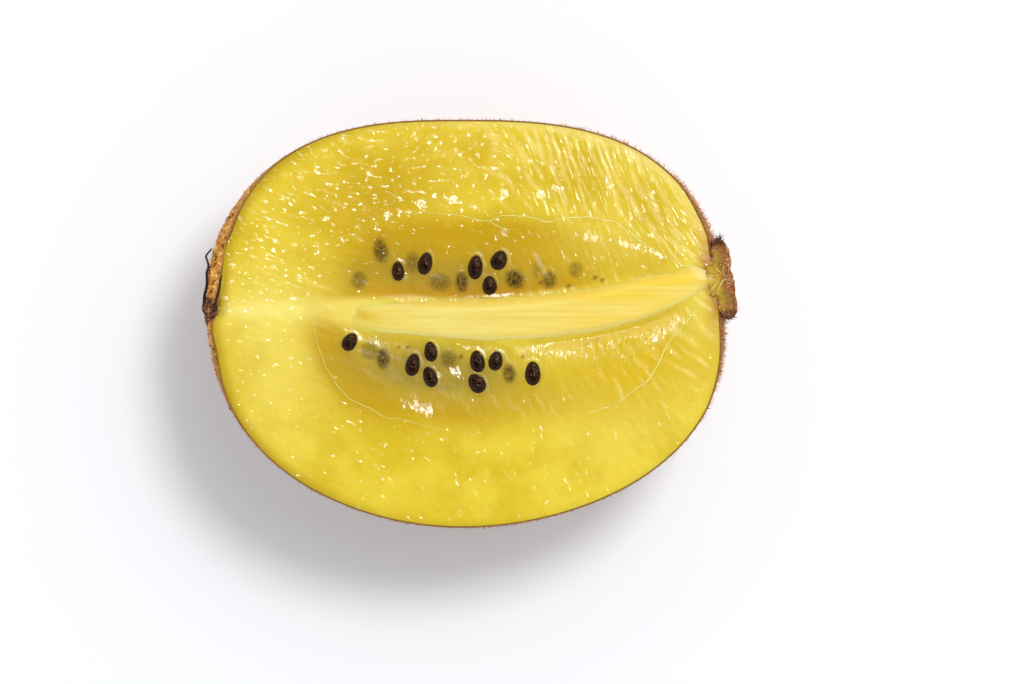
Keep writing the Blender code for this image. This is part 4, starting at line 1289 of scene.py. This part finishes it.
keep_number(scar_mesh, "inside", inside)
keep_number(scar_mesh, "inwards", smooth_step(0.1, -0.9, points[:, 2]))
keep_number(scar_mesh, "greenness", inside * (spot(points[:, 1], points[:, 2], (-2.0, -0.45), (0.7, 0.6)) + 0.6 * spot(points[:, 1], points[:, 2], (2.3, -0.4), (0.8, 0.5))))
keep_number(scar_mesh, "crack", 1 - smooth_step(0.02, 0.16, cracks))
keep_number(scar_mesh, "bristly", smooth_step(3.5, 4.1, from_axis))

BARK = colour(184, 110, 50)
BARK_LIGHT = colour(232, 170, 116)
BARK_DARK = colour(84, 42, 18)
MOIST_BROWN = colour(182, 116, 50)
MOIST_OLIVE = colour(148, 108, 46)
MOIST_GREEN = colour(126, 124, 10)
SCAR_YELLOW = colour(204, 164, 44)

scar_material, tree, shader = new_material("corky_scar")
mottle = speckle(tree, place_mm(tree), 1.3, 4.0, 0.65)
fine = speckle(tree, place_mm(tree), 5.0, 3.0, 0.6)
bark = mix(tree, between(tree, mottle, 0.38, 0.62), BARK, BARK_LIGHT)
bark = mix(tree, between(tree, fine, 0.45, 0.62, 0.0, 0.8), bark, BARK_DARK)
bark = mix(tree, stored(tree, "crack"), bark, BARK_DARK)
bark = mix(tree, maths(tree, "MULTIPLY", stored(tree, "bristly"), between(tree, mottle, 0.3, 0.6, 0.3, 1.0)), bark, BARK_DARK)
moist = mix(tree, between(tree, mottle, 0.40, 0.60), MOIST_BROWN, MOIST_OLIVE)
moist = mix(tree, between(tree, fine, 0.50, 0.66, 0.0, 0.5), moist, BARK_DARK)
moist = mix(tree, stored(tree, "greenness"), moist, MOIST_GREEN)
moist = mix(tree, maths(tree, "MULTIPLY", stored(tree, "inwards"), between(tree, mottle, 0.3, 0.6, 0.6, 1.0)), moist, SCAR_YELLOW)
wire(tree, shader.inputs["Base Color"], mix(tree, stored(tree, "inside"), bark, moist))
wire(tree, shader.inputs["Normal"], bumps(tree, maths(tree, "ADD", fine, mottle), 0.12))
wire(tree, shader.inputs["Roughness"], between(tree, stored(tree, "inside"), 0.0, 1.0, 0.8, 0.4))
shader.inputs["Specular IOR Level"].default_value = 0.25
shader.inputs["Subsurface Weight"].default_value = 0.2
shader.inputs["Subsurface Radius"].default_value = SCATTER
shader.inputs["Subsurface Scale"].default_value = 0.5 * MM
add_piece("stem_scar_cork", scar_mesh, scar_material, "stem_scar", "stem_scar")

# %% [markdown]
# Bristles and pale fibres of the stem end
#
# Stiff dark bristles stand where the ring meets the skin, thickest in two tufts that the knife left at
# its ends. The same spike function makes them, only thicker. Pale fibres run from the core into the
# stub, as thin tubes on the cut.

# %% A crown of bristles, and fibres on the cut
BRISTLE_COUNT = 260
BRISTLE_RING = 4.25


turn = np.concatenate([
    chance.uniform(-np.pi / 2, np.pi / 2, BRISTLE_COUNT - 110),
    chance.normal(math.radians(86), 0.09, 60),
    chance.normal(math.radians(-86), 0.11, 50),
])
turn = np.clip(turn, -math.radians(89), math.radians(89))
ring = BRISTLE_RING + chance.normal(scale=0.22, size=BRISTLE_COUNT)
roots = np.stack([ring * np.cos(turn), ring * np.sin(turn), chance.normal(-0.25, 0.3, BRISTLE_COUNT)], axis=-1)
ways = np.stack([np.cos(turn) * 0.7, np.sin(turn) * 0.7, np.full(BRISTLE_COUNT, 0.75)], axis=-1)
ways = ways + chance.normal(scale=0.45, size=ways.shape)
turned = np.array(Matrix.Rotation(SCAR_TURN, 3, "Z") @ Matrix.Rotation(math.pi / 2, 3, "Y")).T
lengths = chance.uniform(0.35, 1.0, BRISTLE_COUNT)
roots = facing_stem(roots)
ways = ways @ turned
ways[:, 2] = np.where(roots[:, 2] > CUT_HEIGHT - 0.6, np.minimum(ways[:, 2], 0.15), ways[:, 2])
bristle_mesh = spikes("bristles", roots, ways, lengths, np.full(BRISTLE_COUNT, 0.07), 0.5)
bristle_material, tree, shader = new_material("dark_bristle")
tone = speckle(tree, place_mm(tree), 2.4, 1.0)
wire(tree, shader.inputs["Base Color"], mix(tree, between(tree, tone, 0.35, 0.6), colour(48, 26, 18), colour(140, 86, 48)))
shader.inputs["Roughness"].default_value = 0.6
add_piece("stem_bristles", bristle_mesh, bristle_material, "stem_scar")

FIBRES = (
    ((28.60, 6.38), (29.00, 6.10), (29.28, 5.75)),
    ((29.52, 6.95), (29.42, 6.40), (29.45, 5.95), (29.62, 5.68), (29.95, 5.52)),
    ((29.75, 5.30), (29.30, 4.85), (28.95, 4.20), (28.70, 3.30), (28.40, 2.70)),
    ((27.60, 4.75), (28.30, 5.10), (29.00, 5.35)),
    ((27.40, 5.60), (28.20, 5.62), (28.95, 5.58)),
    ((27.70, 3.60), (28.35, 4.30), (28.90, 4.95)),
)
fibre_meshes = []
for stops in FIBRES:
    places = [(x, y, CUT_HEIGHT - 0.16) for x, y in stops]
    fibre_meshes.append(thread("fibre", places, 0.06, lambda share: 1.0 - 0.6 * share))
fibres = joined("fibres", fibre_meshes)
add_piece("stem_fibres", fibres, strand_material, "core")

# %% [markdown]
# What is left of the flower
#
# At the blossom end the dried flower is a crumbly knot with a few long black filaments on the skin. The
# knot is many small uneven crumbs heaped on the solid's place. The filaments are tubes that taper and
# wave, laid a little off the skin along routes measured on the real one.

# %% Crumbs of the dry flower
CRUMB_COUNT = 260
CRUMB_MIDDLE = {"angle": 178.3, "depth": 1.4}
KNOT_ROOTS = (177.5, 2.6)


angle = np.radians(CRUMB_MIDDLE["angle"] + chance.normal(scale=1.2, size=CRUMB_COUNT))
depth = np.abs(chance.normal(CRUMB_MIDDLE["depth"], 1.3, CRUMB_COUNT)) + 0.05
sizes = chance.uniform(0.07, 0.22, CRUMB_COUNT)
places, _ = on_skin(angle, depth, chance.uniform(0.0, 0.22, CRUMB_COUNT))
crumbs = [crumb(number, Vector(place), size) for number, (place, size) in enumerate(zip(places, sizes))]
core_of_knot, _ = on_skin(np.radians(KNOT_ROOTS[0]), np.array(KNOT_ROOTS[1]), np.array(0.0))
crumbs.append(crumb(0, Vector(core_of_knot), 0.42))
crumb_mesh = joined("crumbs", crumbs)
crumb_material, tree, shader = new_material("dry_flower_crumbs")
coarse = speckle(tree, place_mm(tree), 1.5, 2.0)
fine = speckle(tree, place_mm(tree), 5.0, 3.0)
tint = mix(tree, between(tree, coarse, 0.36, 0.50), colour(40, 16, 12), colour(150, 84, 40))
tint = mix(tree, between(tree, coarse, 0.54, 0.68), tint, colour(214, 150, 70))
tint = mix(tree, between(tree, fine, 0.5, 0.68, 0.0, 0.7), tint, colour(60, 26, 16))
wire(tree, shader.inputs["Base Color"], tint)
wire(tree, shader.inputs["Normal"], bumps(tree, fine, 0.12))
shader.inputs["Roughness"].default_value = 0.8
add_piece("blossom_crumbs", crumb_mesh, crumb_material, "blossom_knot", "blossom_knot")

# %% Dry filaments along the skin
# Each filament on top: its route in the plane of the cut, how deep it starts and ends, and its thickness.
LONG_FILAMENT = (
    (-30.55, 0.95), (-31.00, 1.75), (-30.92, 2.38), (-30.87, 3.27), (-30.62, 4.34), (-30.57, 5.22), (-30.60, 5.93), (-30.40, 6.73),
    (-30.51, 7.35), (-30.66, 7.89), (-30.44, 8.24), (-30.10, 8.62), (-30.02, 8.80),
)
SHORT_FILAMENT = ((-29.72, 1.40), (-29.50, 2.47), (-29.17, 3.54), (-28.93, 4.69), (-28.74, 5.67))
UNDER_FILAMENTS = (
    ((177.0, 3.0), (178.2, 3.9), (179.5, 4.9), (180.2, 5.9), (182.0, 6.5)),
    ((178.0, 2.9), (179.6, 3.9), (181.4, 4.9), (182.8, 5.3), (184.0, 6.2)),
    ((176.0, 3.0), (175.6, 4.0), (174.6, 5.1), (173.6, 6.0), (172.0, 7.0)),
)


def fading(share):
    return 1.0 - 0.6 * share


filaments = []
route = np.array(LONG_FILAMENT)
drop = np.linspace(2.6, 1.5, len(route))
filaments.append(thread("long", [(x, y, CUT_HEIGHT - d) for (x, y), d in zip(route, drop)], 0.21, fading, 3))
route = np.array(SHORT_FILAMENT)
drop = np.linspace(0.05, -0.18, len(route))
filaments.append(thread("short", [(x, y, CUT_HEIGHT - d) for (x, y), d in zip(route, drop)], 0.22, fading, 3))
for stops in UNDER_FILAMENTS:
    turns, depths = np.array(stops).T
    places, _ = on_skin(np.radians(turns), depths, np.full(len(turns), 0.2))
    filaments.append(thread("under", places, 0.19, fading, 3))
filament_mesh = joined("filaments", filaments)
filament_material, tree, shader = new_material("black_filament")
tone = speckle(tree, place_mm(tree, (1, 1, 1)), 2.5, 3.0)
wire(tree, shader.inputs["Base Color"], mix(tree, between(tree, tone, 0.42, 0.66), colour(24, 14, 9), colour(74, 40, 18)))
wire(tree, shader.inputs["Normal"], bumps(tree, tone, 0.08))
shader.inputs["Roughness"].default_value = 0.6
shader.inputs["Specular IOR Level"].default_value = 0.2
add_piece("dry_filaments", filament_mesh, filament_material, "blossom_knot")

# %% [markdown]
# Measure the boxes
#
# The boxes of the solids and of the dressed fruit are printed side by side.

# %% Boxes and finish
dressed_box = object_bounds()
sizes = {"solids": [list(corner) for corner in solid_box], "dressed": [list(corner) for corner in dressed_box]}
for label, (low, high) in sizes.items():
    print(label, [round((b - a) / MM, 2) for a, b in zip(low, high)], "mm")
